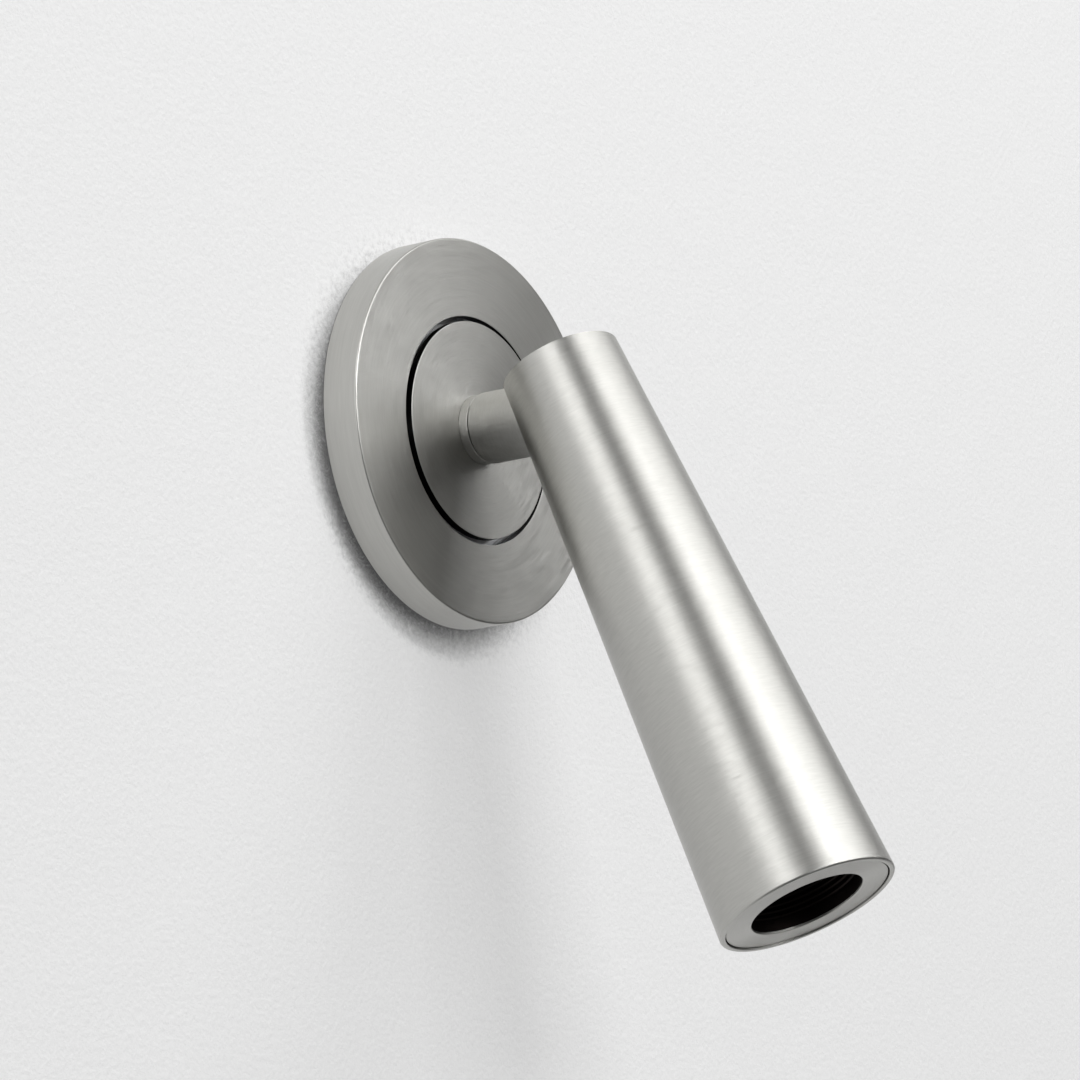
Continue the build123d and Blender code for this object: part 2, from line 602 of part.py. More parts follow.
with BuildPart() as pivot_screws:
    ring(PIN_SECTION, PIN_AXIS, 0, PIN_D / 2, PIVOT_SCREW_START, EAR_FACE)
    ring(PIN_SECTION, PIN_AXIS, 0, PIVOT_HEAD_D / 2, EAR_FACE, PIVOT_HEAD_FACE)
    with BuildSketch(STEM_SIDE.offset(PIVOT_HEAD_FACE)):
        RegularPolygon(radius=PIVOT_HEX_ACROSS / 2, side_count=6, major_radius=False)
    extrude(amount=-HEX_DEPTH, mode=Mode.SUBTRACT)
    mirror(about=Plane.YZ)

with BuildPart() as friction_washers:
    ring(PIN_SECTION, PIN_AXIS, PIN_D / 2 + SEATED, FRICTION_WASHER_D / 2, TONGUE_T / 2 + RUN, YOKE_GAP / 2)
    mirror(about=Plane.YZ)

with BuildPart(HEAD) as hinge_yoke_screws:
    with Locations(*pair(YOKE_SCREW_AT, WEB_END + YOKE_SCREW_L / 2)):
        Cylinder(SMALL_SCREW_D / 2, YOKE_SCREW_L)
    with Locations(*pair(YOKE_SCREW_AT, WEB_END - YOKE_SCREW_HEAD_T / 2)):
        Cylinder(YOKE_SCREW_HEAD_D / 2, YOKE_SCREW_HEAD_T)

with BuildPart() as lead_grommet:
    ring(HEAD_SECTION, HEAD_AXIS, LEAD_D / 2, GROMMET_D / 2 - SEATED, WEB_TOP, WEB_END)
    ring(HEAD_SECTION, HEAD_AXIS, LEAD_D / 2, GROMMET_FLANGE_D / 2, WEB_END, WEB_END - GROMMET_FLANGE_T)

with BuildPart() as head_lead:
    ring(HEAD_SECTION, HEAD_AXIS, 0, LEAD_D / 2, -LEAD_D / 2 - LEAD_BREAK, CASE_TOP - LEAD_IN_CASE)

# ======== Head: driver ========
BOARD_T = 1.6
BOARD_W = 21.6
BOARD_TOP = CASE_TOP - LEAD_IN_CASE - LEAD_BREAK
BOARD_END = CASE_END + 2.0
LID_T = 1.5
CAPACITOR_D = 7.2
CAPACITOR_L = 9.0
CAPACITOR_AT = -35.0
TRANSFORMER_W = 9.0
TRANSFORMER_AT = -48.5
FLANGE_T = 1.6  # the transformer's bobbin flanges
WINDING_W = 7.0
WINDING_L = 6.0
WINDING_T = 5.0
INDUCTOR_D = 8.0
INDUCTOR_T = 6.0
INDUCTOR_AT = -37.0
CHIP_T = 1.4
CHIP_AT = -50.0
LED_LEAD_END = SINK_END - 2.4

with BuildPart() as driver_case:
    ring(HEAD_SECTION, HEAD_AXIS, LEAD_D / 2 + SCREW_CLEAR, CASE_D / 2, CASE_TOP, CASE_TOP - CASE_T)
    ring(HEAD_SECTION, HEAD_AXIS, CASE_D / 2 - CASE_T, CASE_D / 2, CASE_TOP - CASE_T, CASE_END)

with BuildPart(HEAD) as driver_lid:
    ring(HEAD_SECTION, HEAD_AXIS, 0, bore_r(CASE_END) - RUN, CASE_END, CASE_END - LID_T)
    ring(HEAD_SECTION, HEAD_AXIS, 0, CASE_D / 2 - CASE_T - SEATED, CASE_END + LID_T, CASE_END)
    with Locations((0, LED_LEAD_AT, CASE_END), (0, -LED_LEAD_AT, CASE_END)):
        Cylinder(LED_LEAD_D / 2 + RUN, 4 * LID_T, mode=Mode.SUBTRACT)

with BuildPart(HEAD) as driver_board:
    with Locations((0, 0, (BOARD_TOP + BOARD_END) / 2)):
        Box(BOARD_T, BOARD_W, BOARD_TOP - BOARD_END)

with BuildPart(HEAD) as driver_capacitor:
    with Locations((BOARD_T / 2 + CAPACITOR_D / 2, 0, CAPACITOR_AT)):
        Cylinder(CAPACITOR_D / 2, CAPACITOR_L)
    chamfer(driver_capacitor.edges().filter_by(GeomType.CIRCLE), length=0.4)

with BuildPart(HEAD) as driver_transformer:
    for along, width, length, thick in (
        (FLANGE_T / 2, TRANSFORMER_W, TRANSFORMER_W, FLANGE_T),
        (FLANGE_T + WINDING_T / 2, WINDING_W, WINDING_L, WINDING_T),
        (FLANGE_T * 1.5 + WINDING_T, TRANSFORMER_W, TRANSFORMER_W, FLANGE_T),
    ):
        with Locations((BOARD_T / 2 + along, 0, TRANSFORMER_AT)):
            Box(thick, width, length)

with BuildPart(HEAD) as driver_inductor:
    with Locations((-BOARD_T / 2 - INDUCTOR_T / 2, 0, INDUCTOR_AT)):
        Cylinder(INDUCTOR_D / 2, INDUCTOR_T, rotation=(0, 90, 0))

with BuildPart(HEAD) as driver_chip:
    with Locations((-BOARD_T / 2 - CHIP_T / 2, 0, CHIP_AT)):
        Box(CHIP_T, 4, 5)

with BuildPart(HEAD) as led_leads:
    with Locations((0, LED_LEAD_AT, LED_LEAD_END), (0, -LED_LEAD_AT, LED_LEAD_END)):
        Cylinder(LED_LEAD_D / 2, BOARD_END - LED_LEAD_END, align=(Align.CENTER, Align.CENTER, Align.MIN))

# ======== Head: heat sink, LED and optics ========
FIN_PITCH = 4.2
FIN_GAP = 2.6
FIN_FLOOR = SINK_END + SINK_BASE_T
PAD_T = 0.3
LED_BOARD_T = 1.6
LED_BOARD_D = 21.0
LED_T = 1.0
LED_D = 9.6
LED_SCREW_L = 5.6
LED_SCREW_HEAD_D = 4.2
LED_SCREW_HEAD_T = 1.4
HOLDER_D = 29.0
HOLDER_BORE_D = 25.0
LENS_D = 24.8
LENS_FLANGE_T = 1.5
LENS_NECK_R = 4.6
LENS_CUP_R = 3.2
LENS_CUP_DEPTH = 3.4
BAFFLE_T = 1.2
BAFFLE_NECK_R = 11.6
BAFFLE_LIP_R = 17.0
LED_FACE = SINK_END - PAD_T - LED_BOARD_T

with BuildPart(HEAD) as heat_sink:
    turn(
        HEAD_SECTION,
        HEAD_AXIS,
        [
            (0, SINK_TOP),
            (bore_r(SINK_TOP) - RUN, SINK_TOP),
            (bore_r(SINK_END) - RUN, SINK_END),
            (0, SINK_END),
        ],
    )
    with Locations((0, 0, FIN_FLOOR + BEYOND / 2)):
        with GridLocations(FIN_PITCH, 0, 7, 1):
            Box(FIN_GAP, BEYOND, BEYOND, mode=Mode.SUBTRACT)
    with Locations((0, LED_LEAD_AT, SINK_END), (0, -LED_LEAD_AT, SINK_END)):
        Cylinder(LED_LEAD_D / 2 + SCREW_CLEAR, 3 * SINK_BASE_T, mode=Mode.SUBTRACT)
    with Locations(*pair(LED_LEAD_AT, SINK_END)):
        Cylinder(SMALL_SCREW_D / 2 + SEATED, 1.5 * SINK_BASE_T, mode=Mode.SUBTRACT)

with BuildPart(HEAD) as thermal_pad:
    ring(HEAD_SECTION, HEAD_AXIS, 0, LED_BOARD_D / 2, SINK_END, SINK_END - PAD_T)
    board_holes()

with BuildPart(HEAD) as led_board:
    ring(HEAD_SECTION, HEAD_AXIS, 0, LED_BOARD_D / 2, SINK_END - PAD_T, LED_FACE)
    board_holes()

with BuildPart() as led_emitter:
    ring(HEAD_SECTION, HEAD_AXIS, 0, LED_D / 2, LED_FACE, LED_FACE - LED_T)

with BuildPart(HEAD) as led_board_screws:
    with Locations(*pair(LED_LEAD_AT, LED_FACE + LED_SCREW_L / 2)):
        Cylinder(SMALL_SCREW_D / 2, LED_SCREW_L)
    with Locations(*pair(LED_LEAD_AT, LED_FACE - LED_SCREW_HEAD_T / 2)):
        Cylinder(LED_SCREW_HEAD_D / 2, LED_SCREW_HEAD_T)

with BuildPart() as lens_holder:
    ring(HEAD_SECTION, HEAD_AXIS, HOLDER_BORE_D / 2, HOLDER_D / 2, SINK_END, HOLDER_END)

with BuildPart() as lens:
    turn(
        HEAD_SECTION,
        HEAD_AXIS,
        [
            (0, LENS_TOP - LENS_CUP_DEPTH),
            (LENS_CUP_R, LENS_TOP - LENS_CUP_DEPTH),
            (LENS_CUP_R, LENS_TOP),
            (LENS_NECK_R, LENS_TOP),
            (BAFFLE_NECK_R, HOLDER_END + LENS_FLANGE_T),
            (LENS_D / 2, HOLDER_END + LENS_FLANGE_T),
            (LENS_D / 2, HOLDER_END),
            (0, HOLDER_END),
        ],
    )

with BuildPart() as baffle:
    turn(
        HEAD_SECTION,
        HEAD_AXIS,
        [
            (BAFFLE_NECK_R, HOLDER_END),
            (HOLDER_D / 2, HOLDER_END),
            (HOLDER_D / 2, HOLDER_END - BAFFLE_T),
            (BAFFLE_NECK_R + BAFFLE_T, HOLDER_END - BAFFLE_T),
            (LIGHT_D / 2 + BAFFLE_T, BAFFLE_END + BAFFLE_T),
            (BAFFLE_LIP_R, BAFFLE_END + BAFFLE_T),
            (BAFFLE_LIP_R, BAFFLE_END),
            (LIGHT_D / 2, BAFFLE_END),
        ],
    )

with BuildPart() as bezel_ring:
    turn(
        HEAD_SECTION,
        HEAD_AXIS,
        [
            (LIGHT_D / 2, BEZEL_FACE),
            (BEZEL_D / 2, BEZEL_FACE),
            (BEZEL_D / 2, BAFFLE_END),
            (SEAT_D / 2 - RUN, BAFFLE_END),
            (SEAT_D / 2 - RUN, SEAT_TOP),
            (BAFFLE_LIP_R + SCREW_CLEAR, SEAT_TOP),
            (BAFFLE_LIP_R + SCREW_CLEAR, BAFFLE_END),
            (LIGHT_D / 2, BAFFLE_END),
        ],
    )
    chamfer(rim(bezel_ring, HEAD_AXIS, 0), length=0.15)
    chamfer(rim(bezel_ring, HEAD_AXIS, 0, 0), length=0.3)

# ======== Labels and files ========
pieces = {
    "wall_bracket": wall_bracket,
    "earth_ring_terminal": earth_ring_terminal,
    "earth_washer": earth_washer,
    "earth_screw": earth_screw,
    "earth_lead": earth_lead,
    "terminal_block": terminal_block,
    "terminal_screws": terminal_screws,
    "terminal_block_screw": terminal_block_screw,
    "lead_plug": lead_plug,
    "supply_lead": supply_lead,
    "carrier_plate": carrier_plate,
    "carrier_screws": carrier_screws,
    "stop_pin": stop_pin,
    "rose_ring": rose_ring,
    "inner_disc": inner_disc,
    "base_collar": base_collar,
    "swivel_bush": swivel_bush,
    "thrust_washer": thrust_washer,
    "stem_tube": stem_tube,
    "threaded_spindle": threaded_spindle,
    "spring_washer": spring_washer,
    "stop_washer": stop_washer,
    "spindle_nuts": spindle_nuts,
    "knuckle": knuckle,
    "stem_lead": stem_lead,
    "head_shell": head_shell,
    "head_cap": head_cap,
    "hinge_yoke": hinge_yoke,
    "pivot_screws": pivot_screws,
    "friction_washers": friction_washers,
    "hinge_yoke_screws": hinge_yoke_screws,
    "lead_grommet": lead_grommet,
    "head_lead": head_lead,
    "driver_case": driver_case,
    "driver_lid": driver_lid,
    "driver_board": driver_board,
    "driver_capacitor": driver_capacitor,
    "driver_transformer": driver_transformer,
    "driver_inductor": driver_inductor,
    "driver_chip": driver_chip,
    "led_leads": led_leads,
    "heat_sink": heat_sink,
    "thermal_pad": thermal_pad,
    "led_board": led_board,
    "led_emitter": led_emitter,
    "led_board_screws": led_board_screws,
    "lens_holder": lens_holder,
    "lens": lens,
    "baffle": baffle,
    "bezel_ring": bezel_ring,
}

os.makedirs("parts", exist_ok=True)
for name, piece in pieces.items():
    piece.part.label = name
    export_step(piece.part, f"parts/{name}.step")
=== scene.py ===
import json
from math import cos, pi, radians, sin, sqrt, tan

import bmesh
import bpy
from bpy.props import FloatProperty, FloatVectorProperty, PointerProperty
from bpy.types import Operator, Panel, PropertyGroup
from mathutils import Matrix, Vector

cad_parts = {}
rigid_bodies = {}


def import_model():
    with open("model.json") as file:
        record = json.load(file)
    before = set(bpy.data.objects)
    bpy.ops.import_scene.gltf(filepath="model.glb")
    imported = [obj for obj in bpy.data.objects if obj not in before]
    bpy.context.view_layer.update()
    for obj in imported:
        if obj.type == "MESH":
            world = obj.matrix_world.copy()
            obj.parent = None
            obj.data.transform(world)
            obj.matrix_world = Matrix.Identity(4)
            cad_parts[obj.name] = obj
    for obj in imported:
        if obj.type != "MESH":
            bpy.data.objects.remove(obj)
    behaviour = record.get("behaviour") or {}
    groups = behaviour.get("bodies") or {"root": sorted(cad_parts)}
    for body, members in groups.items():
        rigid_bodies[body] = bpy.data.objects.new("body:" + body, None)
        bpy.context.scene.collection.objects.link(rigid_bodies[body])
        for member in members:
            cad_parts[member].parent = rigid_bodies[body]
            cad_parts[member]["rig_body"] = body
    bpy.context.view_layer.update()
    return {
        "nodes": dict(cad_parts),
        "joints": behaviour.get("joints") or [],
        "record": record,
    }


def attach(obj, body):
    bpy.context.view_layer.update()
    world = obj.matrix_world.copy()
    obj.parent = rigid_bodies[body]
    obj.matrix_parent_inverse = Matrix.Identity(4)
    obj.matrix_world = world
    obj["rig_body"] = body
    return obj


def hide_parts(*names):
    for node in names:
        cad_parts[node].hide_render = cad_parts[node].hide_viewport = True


bl_info = {
    "name": "Tube Wall Light",
    "version": (1, 0, 0),
    "blender": (4, 5, 0),
    "location": "3D View > Sidebar > Wall Light",
    "description": "A swivelling reading light: tapered tube head, short stem, two-part rose",
    "category": "Add Mesh",
}

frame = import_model()
NODES = frame["nodes"]
JOINTS = {joint["name"]: joint for joint in frame["joints"]}
SLOT_OF = {row["node"]: row["material_slot"] for row in frame["record"]["subparts"]}
MM = 0.001

# ---- Places: the wall's frame, with z out into the room, and the head's, with z up the head ----
PIVOT = Vector(JOINTS["head_tilt"]["pos_m"])
LEAN = -radians(JOINTS["head_tilt"]["range_deg"][0])
WALL_PLACE = Matrix(((1, 0, 0, 0), (0, 0, -1, 0), (0, 1, 0, 0), (0, 0, 0, 1)))
HEAD_PLACE = Matrix.Translation(PIVOT) @ Matrix.Rotation(-LEAN, 4, "X")


def outline_of(node, place):
    """Lowest and highest point of a turned node in its own frame, and its largest radius."""
    to_local = place.inverted()
    points = [to_local @ vertex.co for vertex in NODES[node].data.vertices]
    heights = [point.z for point in points]
    return min(heights), max(heights), max(sqrt(p.x**2 + p.y**2) for p in points)


def length(name, default_mm, description):
    return FloatProperty(
        name=name, default=default_mm * MM, description=description, unit="LENGTH", precision=5
    )


def colour(name, default, description):
    return FloatVectorProperty(
        name=name, default=default, description=description, subtype="COLOR", size=3, min=0, max=1
    )


_, RING_FACE, RING_R = outline_of("rose_ring", WALL_PLACE)
DISC_BACK, DISC_FACE, DISC_R = outline_of("inner_disc", WALL_PLACE)
COLLAR_START, COLLAR_FACE, COLLAR_R = outline_of("base_collar", WALL_PLACE)
STEM_START, STEM_END, STEM_R = outline_of("stem_tube", WALL_PLACE)
SPINDLE_START, SPINDLE_END, SPINDLE_R = outline_of("threaded_spindle", WALL_PLACE)
HEAD_END, HEAD_TOP, _ = outline_of("head_shell", HEAD_PLACE)
CAP_START, CAP_TOP, CAP_R = outline_of("head_cap", HEAD_PLACE)
BEZEL_FACE, SEAT_TOP, SEAT_R = outline_of("bezel_ring", HEAD_PLACE)
BAFFLE_END, BAFFLE_TOP, BAFFLE_LIP_R = outline_of("baffle", HEAD_PLACE)
LENS_END, LENS_TOP, LENS_R = outline_of("lens", HEAD_PLACE)
_, _, LENS_HOLDER_R = outline_of("lens_holder", HEAD_PLACE)
_, _, LED_R = outline_of("led_emitter", HEAD_PLACE)
_, CAN_TOP, _ = outline_of("driver_capacitor", HEAD_PLACE)


class WallLightSizes(PropertyGroup):
    ring_bore: length("Rose opening radius", 26.1, "Radius of the opening round the disc")
    ring_skin: length("Rose face thickness", 2.2, "Thickness of the cover ring's face")
    ring_seat: length("Rose seat radius", 38.05, "Inside radius of the cover ring's skirt")
    neck_r: length("Collar neck radius", 6.9, "Radius of the collar behind the disc's face")
    collar_bore: length("Collar bore radius", 6.0, "Inside radius of the collar, round its bush")
    stem_bore: length("Stem bore radius", 5.02, "Inside radius of the stem, on the spindle")
    stem_socket: length("Stem socket radius", 6.0, "Inside radius of the stem at the knuckle")
    socket_start: length("Stem socket start", 20.5, "Where the stem's wider bore starts")
    spindle_bore: length("Spindle bore radius", 3.0, "Inside radius of the spindle")
    thread_pitch: length("Thread pitch", 1.0, "Pitch of the spindle's thread")
    thread_depth: length("Thread depth", 0.45, "Depth of the spindle's thread")
    thread_length: length("Thread length", 8.0, "Length of the thread, from the spindle's rear end")
    head_top_r: length("Head radius at the top", 13.75, "Outside radius of the head at its top")
    head_end_r: length("Head radius at the light", 20.5, "Outside radius at the light end")
    shell_wall: length("Head wall", 1.8, "Thickness of the head's tapered wall")
    socket_r: length("Hinge socket radius", 12.3, "Bore at the head's top, round the yoke")
    web_top: length("Web height", -20.0, "Top of the web under the yoke, from the pivot")
    web_t: length("Web thickness", 2.5, "Thickness of the web across the head")
    grommet_r: length("Lead hole radius", 4.0, "Radius of the hole in the web")
    slot_r: length("Stem slot radius", 8.4, "Half the width of the slot that the stem tilts in")
    bezel_r: length("Bezel radius", 18.95, "Outside radius of the bezel's face")
    light_r: length("Light opening radius", 13.0, "Radius of the opening in the bezel")
    recess_r: length("Recess radius at the lens", 11.6, "Radius of the dark recess at the lens")
    recess_t: length("Recess wall", 1.2, "Thickness of the dark recess's wall")
    sleeve_t: length("Recess sleeve", 0.6, "Thickness of the recess's sleeve inside the bezel")
    recess_rib: length("Recess rib depth", 0.3, "Depth of the recess's turned anti-glare ribs")
    edge_round: length("Edge rounding", 0.25, "Rounding of the turned edges")


class WallLightColours(PropertyGroup):
    nickel: colour("Satin nickel", (0.490, 0.487, 0.465), "The brushed metal that shows")
    recess: colour("Recess black", (0.018, 0.014, 0.013), "The anodised recess behind the bezel")
    wall: colour("Wall paint", (0.92, 0.92, 0.92), "The wall behind the light")


# ======== Shader building ========
MIX_SHARE, MIX_FIRST, MIX_SECOND, MIX_RESULT = 0, 6, 7, 2  # a Mix node's sockets for colours
BLACK = (0.0, 0.0, 0.0)
NEAR_AXIS = 1e-9


class Wire:
    """A shader socket that Python's arithmetic adds Math nodes to."""

    def __init__(self, finish, socket):
        self.finish, self.socket = finish, socket

    def __add__(self, other):
        return self.finish.math("ADD", self, other)

    def __sub__(self, other):
        return self.finish.math("SUBTRACT", self, other)

    def __rsub__(self, other):
        return self.finish.math("SUBTRACT", other, self)

    def __mul__(self, other):
        return self.finish.math("MULTIPLY", self, other)

    def __truediv__(self, other):
        return self.finish.math("DIVIDE", self, other)

    def __pow__(self, other):
        return self.finish.math("POWER", self, other)

    __radd__ = __add__
    __rmul__ = __mul__


class Finish:
    """The shader nodes of a material, or of a world, under construction."""

    def __init__(self, name, kind="materials"):
        self.owner = getattr(bpy.data, kind).new(name)
        self.owner.use_nodes = True
        self.tree = self.owner.node_tree
        self.tree.nodes.clear()

    def add(self, kind, settings=None, sockets=None, out=0):
        """Adds a node: its settings first, then the values or links of its sockets."""
        node = self.tree.nodes.new(kind)
        for key, value in (settings or {}).items():
            setattr(node, key, value)
        for key, value in (sockets or {}).items():
            if isinstance(value, Wire):
                self.tree.links.new(value.socket, node.inputs[key])
            else:
                node.inputs[key].default_value = value
        return Wire(self, node.outputs[out]) if node.outputs else None

    def output(self, surface, kind="Material"):
        self.add("ShaderNodeOutput" + kind, None, {"Surface": surface})
        return self.owner

    def math(self, operation, *values):
        return self.add("ShaderNodeMath", {"operation": operation}, dict(enumerate(values)))

    def coords(self, place=None):
        """Object coordinates, in a piece's own turned frame where a place is given."""
        raw = self.add("ShaderNodeTexCoord", None, None, "Object")
        if place is None:
            return raw
        inverse = place.inverted()
        return self.add(
            "ShaderNodeMapping",
            {"vector_type": "POINT"},
            {
                "Vector": raw,
                "Location": inverse.to_translation(),
                "Rotation": inverse.to_euler(),
            },
        )

    def split(self, vector):
        """A vector's three numbers."""
        first = self.add("ShaderNodeSeparateXYZ", None, {0: vector})
        return [Wire(self, output) for output in first.socket.node.outputs]

    def join(self, x, y, z):
        return self.add("ShaderNodeCombineXYZ", None, {"X": x, "Y": y, "Z": z})

    def noise(self, vector, per_metre, detail=2.0, rough=0.5):
        sockets = {"Vector": vector, "Scale": per_metre, "Detail": detail, "Roughness": rough}
        return self.add("ShaderNodeTexNoise", {"noise_dimensions": "3D"}, sockets)

    def ray(self, kind):
        """1 for light rays of this kind, and 0 for others."""
        return self.add("ShaderNodeLightPath", None, None, f"Is {kind} Ray")

    def between(self, share, low, high):
        """A number that runs from low to high as the share runs from 0 to 1."""
        return share * (high - low) + low

    def tint(self, share, first, second):
        """A colour between two, of which either may be a link."""
        pair = [value if isinstance(value, Wire) else (*value, 1) for value in (first, second)]
        sockets = {MIX_SHARE: share, MIX_FIRST: pair[0], MIX_SECOND: pair[1]}
        return self.add("ShaderNodeMix", {"data_type": "RGBA"}, sockets, MIX_RESULT)

    def bump(self, height, depth, under=None):
        """A normal from a height, over another normal where one is given."""
        sockets = {"Height": height, "Distance": depth, "Strength": 1.0}
        if under is not None:
            sockets["Normal"] = under
        return self.add("ShaderNodeBump", None, sockets)

    def principled(self, **sockets):
        """A Principled shader; a socket is given by its name in small letters."""
        named = {}
        for key, value in sockets.items():
            label = key.replace("_", " ").title().replace("Ior", "IOR")
            flat_colour = label.endswith("Color") and not isinstance(value, Wire)
            named[label] = (*value, 1) if flat_colour else value
        return self.add("ShaderNodeBsdfPrincipled", None, named)

    def made_of(self, **sockets):
        """The finished material, of one Principled shader."""
        return self.output(self.principled(**sockets))


def shades(tone, darkest, lightest=1.0):
    """The darkest and the lightest shade of a tone."""
    return [[min(1.0, level * part) for part in tone] for level in (darkest, lightest)]


def radius_of(x, y):
    """The distance from the axis, never quite nothing."""
    return (x * x + y * y + NEAR_AXIS) ** 0.5


# ======== Finishes ========
# Brushed metal: how fast its lines change across them, per metre, and round the axis; their depth
GROOVES, GROOVE_DEPTH = (20000, 3.0), 0.06 * MM
STREAKS, STREAK_DEPTH = (2600, 4.0), 0.007 * MM
# how far towards black the painted shade on the walls of a gap between parts goes
PAINTED_GAP_SHADE = 0.97
STRIPE_PITCH = 5.0 * MM
TRACK_WIDTH, TRACK_HEIGHT = 0.1, 0.03 * MM
CAN_STRIPE, CAN_END = 2.2 * MM, 0.3 * MM
LED_FRAME = 0.9 * MM
FINE_DEPTH = 0.01 * MM  # of the grain of sheaths, plating, sheet, ceramic and clear plastic


def groove_frame(finish, place, across, around):
    """A vector that changes fast across a lathe's grooves and slowly round them, with no seam."""
    x, y, z = finish.split(finish.coords(place))
    radius = radius_of(x, y)
    return finish.join(x / radius * around, y / radius * around, (z + radius) * across)


def turned_metal(name, place, tone, rough=0.3, spread=1.0, streaks=1.0, painted_shade_gap=None):
    """Metal brushed round its axis on a lathe: fine grooves draw reflections out along the axis.

    The gap, where one is given, is (inner radius, outer radius, height): its walls below that
    height are painted near black, a painted shade for the dark between two parts."""
    finish = Finish(name)
    fine = finish.noise(groove_frame(finish, place, *GROOVES), 1.0, detail=1.0)
    lines = finish.noise(groove_frame(finish, place, *STREAKS), 1.0, detail=3.0, rough=0.6)
    cloud = finish.noise(finish.coords(place), per_metre=60)
    share = (lines - 0.5) * streaks + finish.between(cloud, 0.4, 0.6)
    base = finish.tint(share, *shades(tone, 0.88, 1.12))
    # painted shade: the gap's walls are darkened towards black in the colour, standing in for the
    # shade that falls between the parts
    if painted_shade_gap is not None:
        inner_r, outer_r, height = painted_shade_gap
        x, y, z = finish.split(finish.coords(place))
        radius = radius_of(x, y)
        inside = finish.math("GREATER_THAN", radius, inner_r)
        inside = inside * finish.math("LESS_THAN", radius, outer_r)
        inside = inside * finish.math("LESS_THAN", z, height)
        base = finish.tint(inside * PAINTED_GAP_SHADE, base, BLACK)
    grooves = finish.bump(fine, GROOVE_DEPTH * spread)
    normal = finish.bump(lines, STREAK_DEPTH * streaks, grooves)
    roughness = finish.between(lines, rough - 0.05, rough + 0.05)
    return finish.made_of(base_color=base, metallic=1.0, roughness=roughness, normal=normal)


def plated_metal(name, tone):
    """Zinc-plated steel: a soft mottle in tone and gloss."""
    finish = Finish(name)
    mottle = finish.noise(finish.coords(), per_metre=900, detail=3.0, rough=0.6)
    patch = finish.noise(finish.coords(), per_metre=160)
    base = finish.tint(patch, *shades(tone, 0.8))
    roughness = finish.between(mottle, 0.22, 0.44)
    normal = finish.bump(mottle, FINE_DEPTH)
    return finish.made_of(base_color=base, metallic=1.0, roughness=roughness, normal=normal)


def sheet_metal(name, place, tone):
    """Rolled sheet: faint straight lines one way across the sheet."""
    finish = Finish(name)
    x, y, z = finish.split(finish.coords(place))
    along, across = 60, 2500
    rolled = finish.join(x * along, y * across, z * across)
    lines = finish.noise(rolled, 1.0, detail=3.0, rough=0.6)
    patch = finish.noise(finish.coords(place), per_metre=90)
    base = finish.tint(lines * 0.5 + patch * 0.5, *shades(tone, 0.82))
    roughness = finish.between(patch, 0.32, 0.48)
    normal = finish.bump(lines, FINE_DEPTH)
    return finish.made_of(base_color=base, metallic=1.0, roughness=roughness, normal=normal)


def moulded(name, tone, rough=0.45, grain_mm=0.25, depth_mm=0.01):
    """Moulded plastic or rubber: a fine spark-eroded grain, and a slight unevenness in its tone."""
    finish = Finish(name)
    grain = finish.noise(finish.coords(), per_metre=1 / (grain_mm * MM), detail=3.0, rough=0.6)
    patch = finish.noise(finish.coords(), per_metre=70)
    base = finish.tint(patch * 0.7 + grain * 0.3, *shades(tone, 0.88))
    roughness = finish.between(grain, rough - 0.06, rough + 0.08)
    normal = finish.bump(grain, depth_mm * MM)
    return finish.made_of(base_color=base, roughness=roughness, normal=normal)


def striped_lead(name, first, second):
    """An earth lead's sheath: two colours that wind round it."""
    finish = Finish(name)
    x, y, _ = finish.split(finish.coords(WALL_PLACE))
    wave = finish.math("SINE", (x + y) * (2 * pi / STRIPE_PITCH))
    share = finish.math("GREATER_THAN", wave, 0.1)
    grain = finish.noise(finish.coords(), per_metre=2500)
    base = finish.tint(share, first, second)
    roughness = finish.between(grain, 0.32, 0.42)
    normal = finish.bump(grain, FINE_DEPTH)
    return finish.made_of(base_color=base, roughness=roughness, normal=normal)


def circuit_board(name, mask, track, cell_mm=1.3):
    """A circuit board's solder mask, with tracks that show through it."""
    finish = Finish(name)
    cells = finish.add(
        "ShaderNodeTexVoronoi",
        {"feature": "DISTANCE_TO_EDGE"},
        {"Vector": finish.coords(HEAD_PLACE), "Scale": 1 / (cell_mm * MM), "Randomness": 0.55},
    )
    tracks = finish.math("LESS_THAN", cells, TRACK_WIDTH)
    grain = finish.noise(finish.coords(), per_metre=1200)
    base = finish.tint(tracks * 0.8 + grain * 0.2, mask, track)
    roughness = finish.between(grain, 0.25, 0.35)
    normal = finish.bump(tracks, TRACK_HEIGHT)
    return finish.made_of(base_color=base, roughness=roughness, normal=normal)


def wound(name, tone, pitch_mm):
    """Windings or tape round a core, turn beside turn."""
    finish = Finish(name)
    _, _, z = finish.split(finish.coords(HEAD_PLACE))
    turns = finish.math("PINGPONG", z / (pitch_mm * MM), 0.5) * 2.0
    grain = finish.noise(finish.coords(HEAD_PLACE), per_metre=700)
    base = finish.tint(turns * 0.7 + grain * 0.3, *shades(tone, 0.55))
    roughness = finish.between(grain, 0.25, 0.4)
    normal = finish.bump(turns, 0.3 * pitch_mm * MM)
    return finish.made_of(base_color=base, roughness=roughness, normal=normal)


def sleeve_can(name, sleeve, stripe, metal):
    """An electrolytic capacitor: shrink sleeve with a pale stripe down one side, and bare ends."""
    finish = Finish(name)
    _, y, z = finish.split(finish.coords(HEAD_PLACE))
    pale = finish.math("GREATER_THAN", y, CAN_STRIPE)
    end = finish.math("GREATER_THAN", z, CAN_TOP - CAN_END)
    grain = finish.noise(finish.coords(), per_metre=900)
    sleeve_tone = finish.tint(pale * 0.9 + grain * 0.1, sleeve, stripe)
    base = finish.tint(end, sleeve_tone, metal)
    roughness = finish.between(grain, 0.25, 0.35)
    return finish.made_of(base_color=base, metallic=end, roughness=roughness)


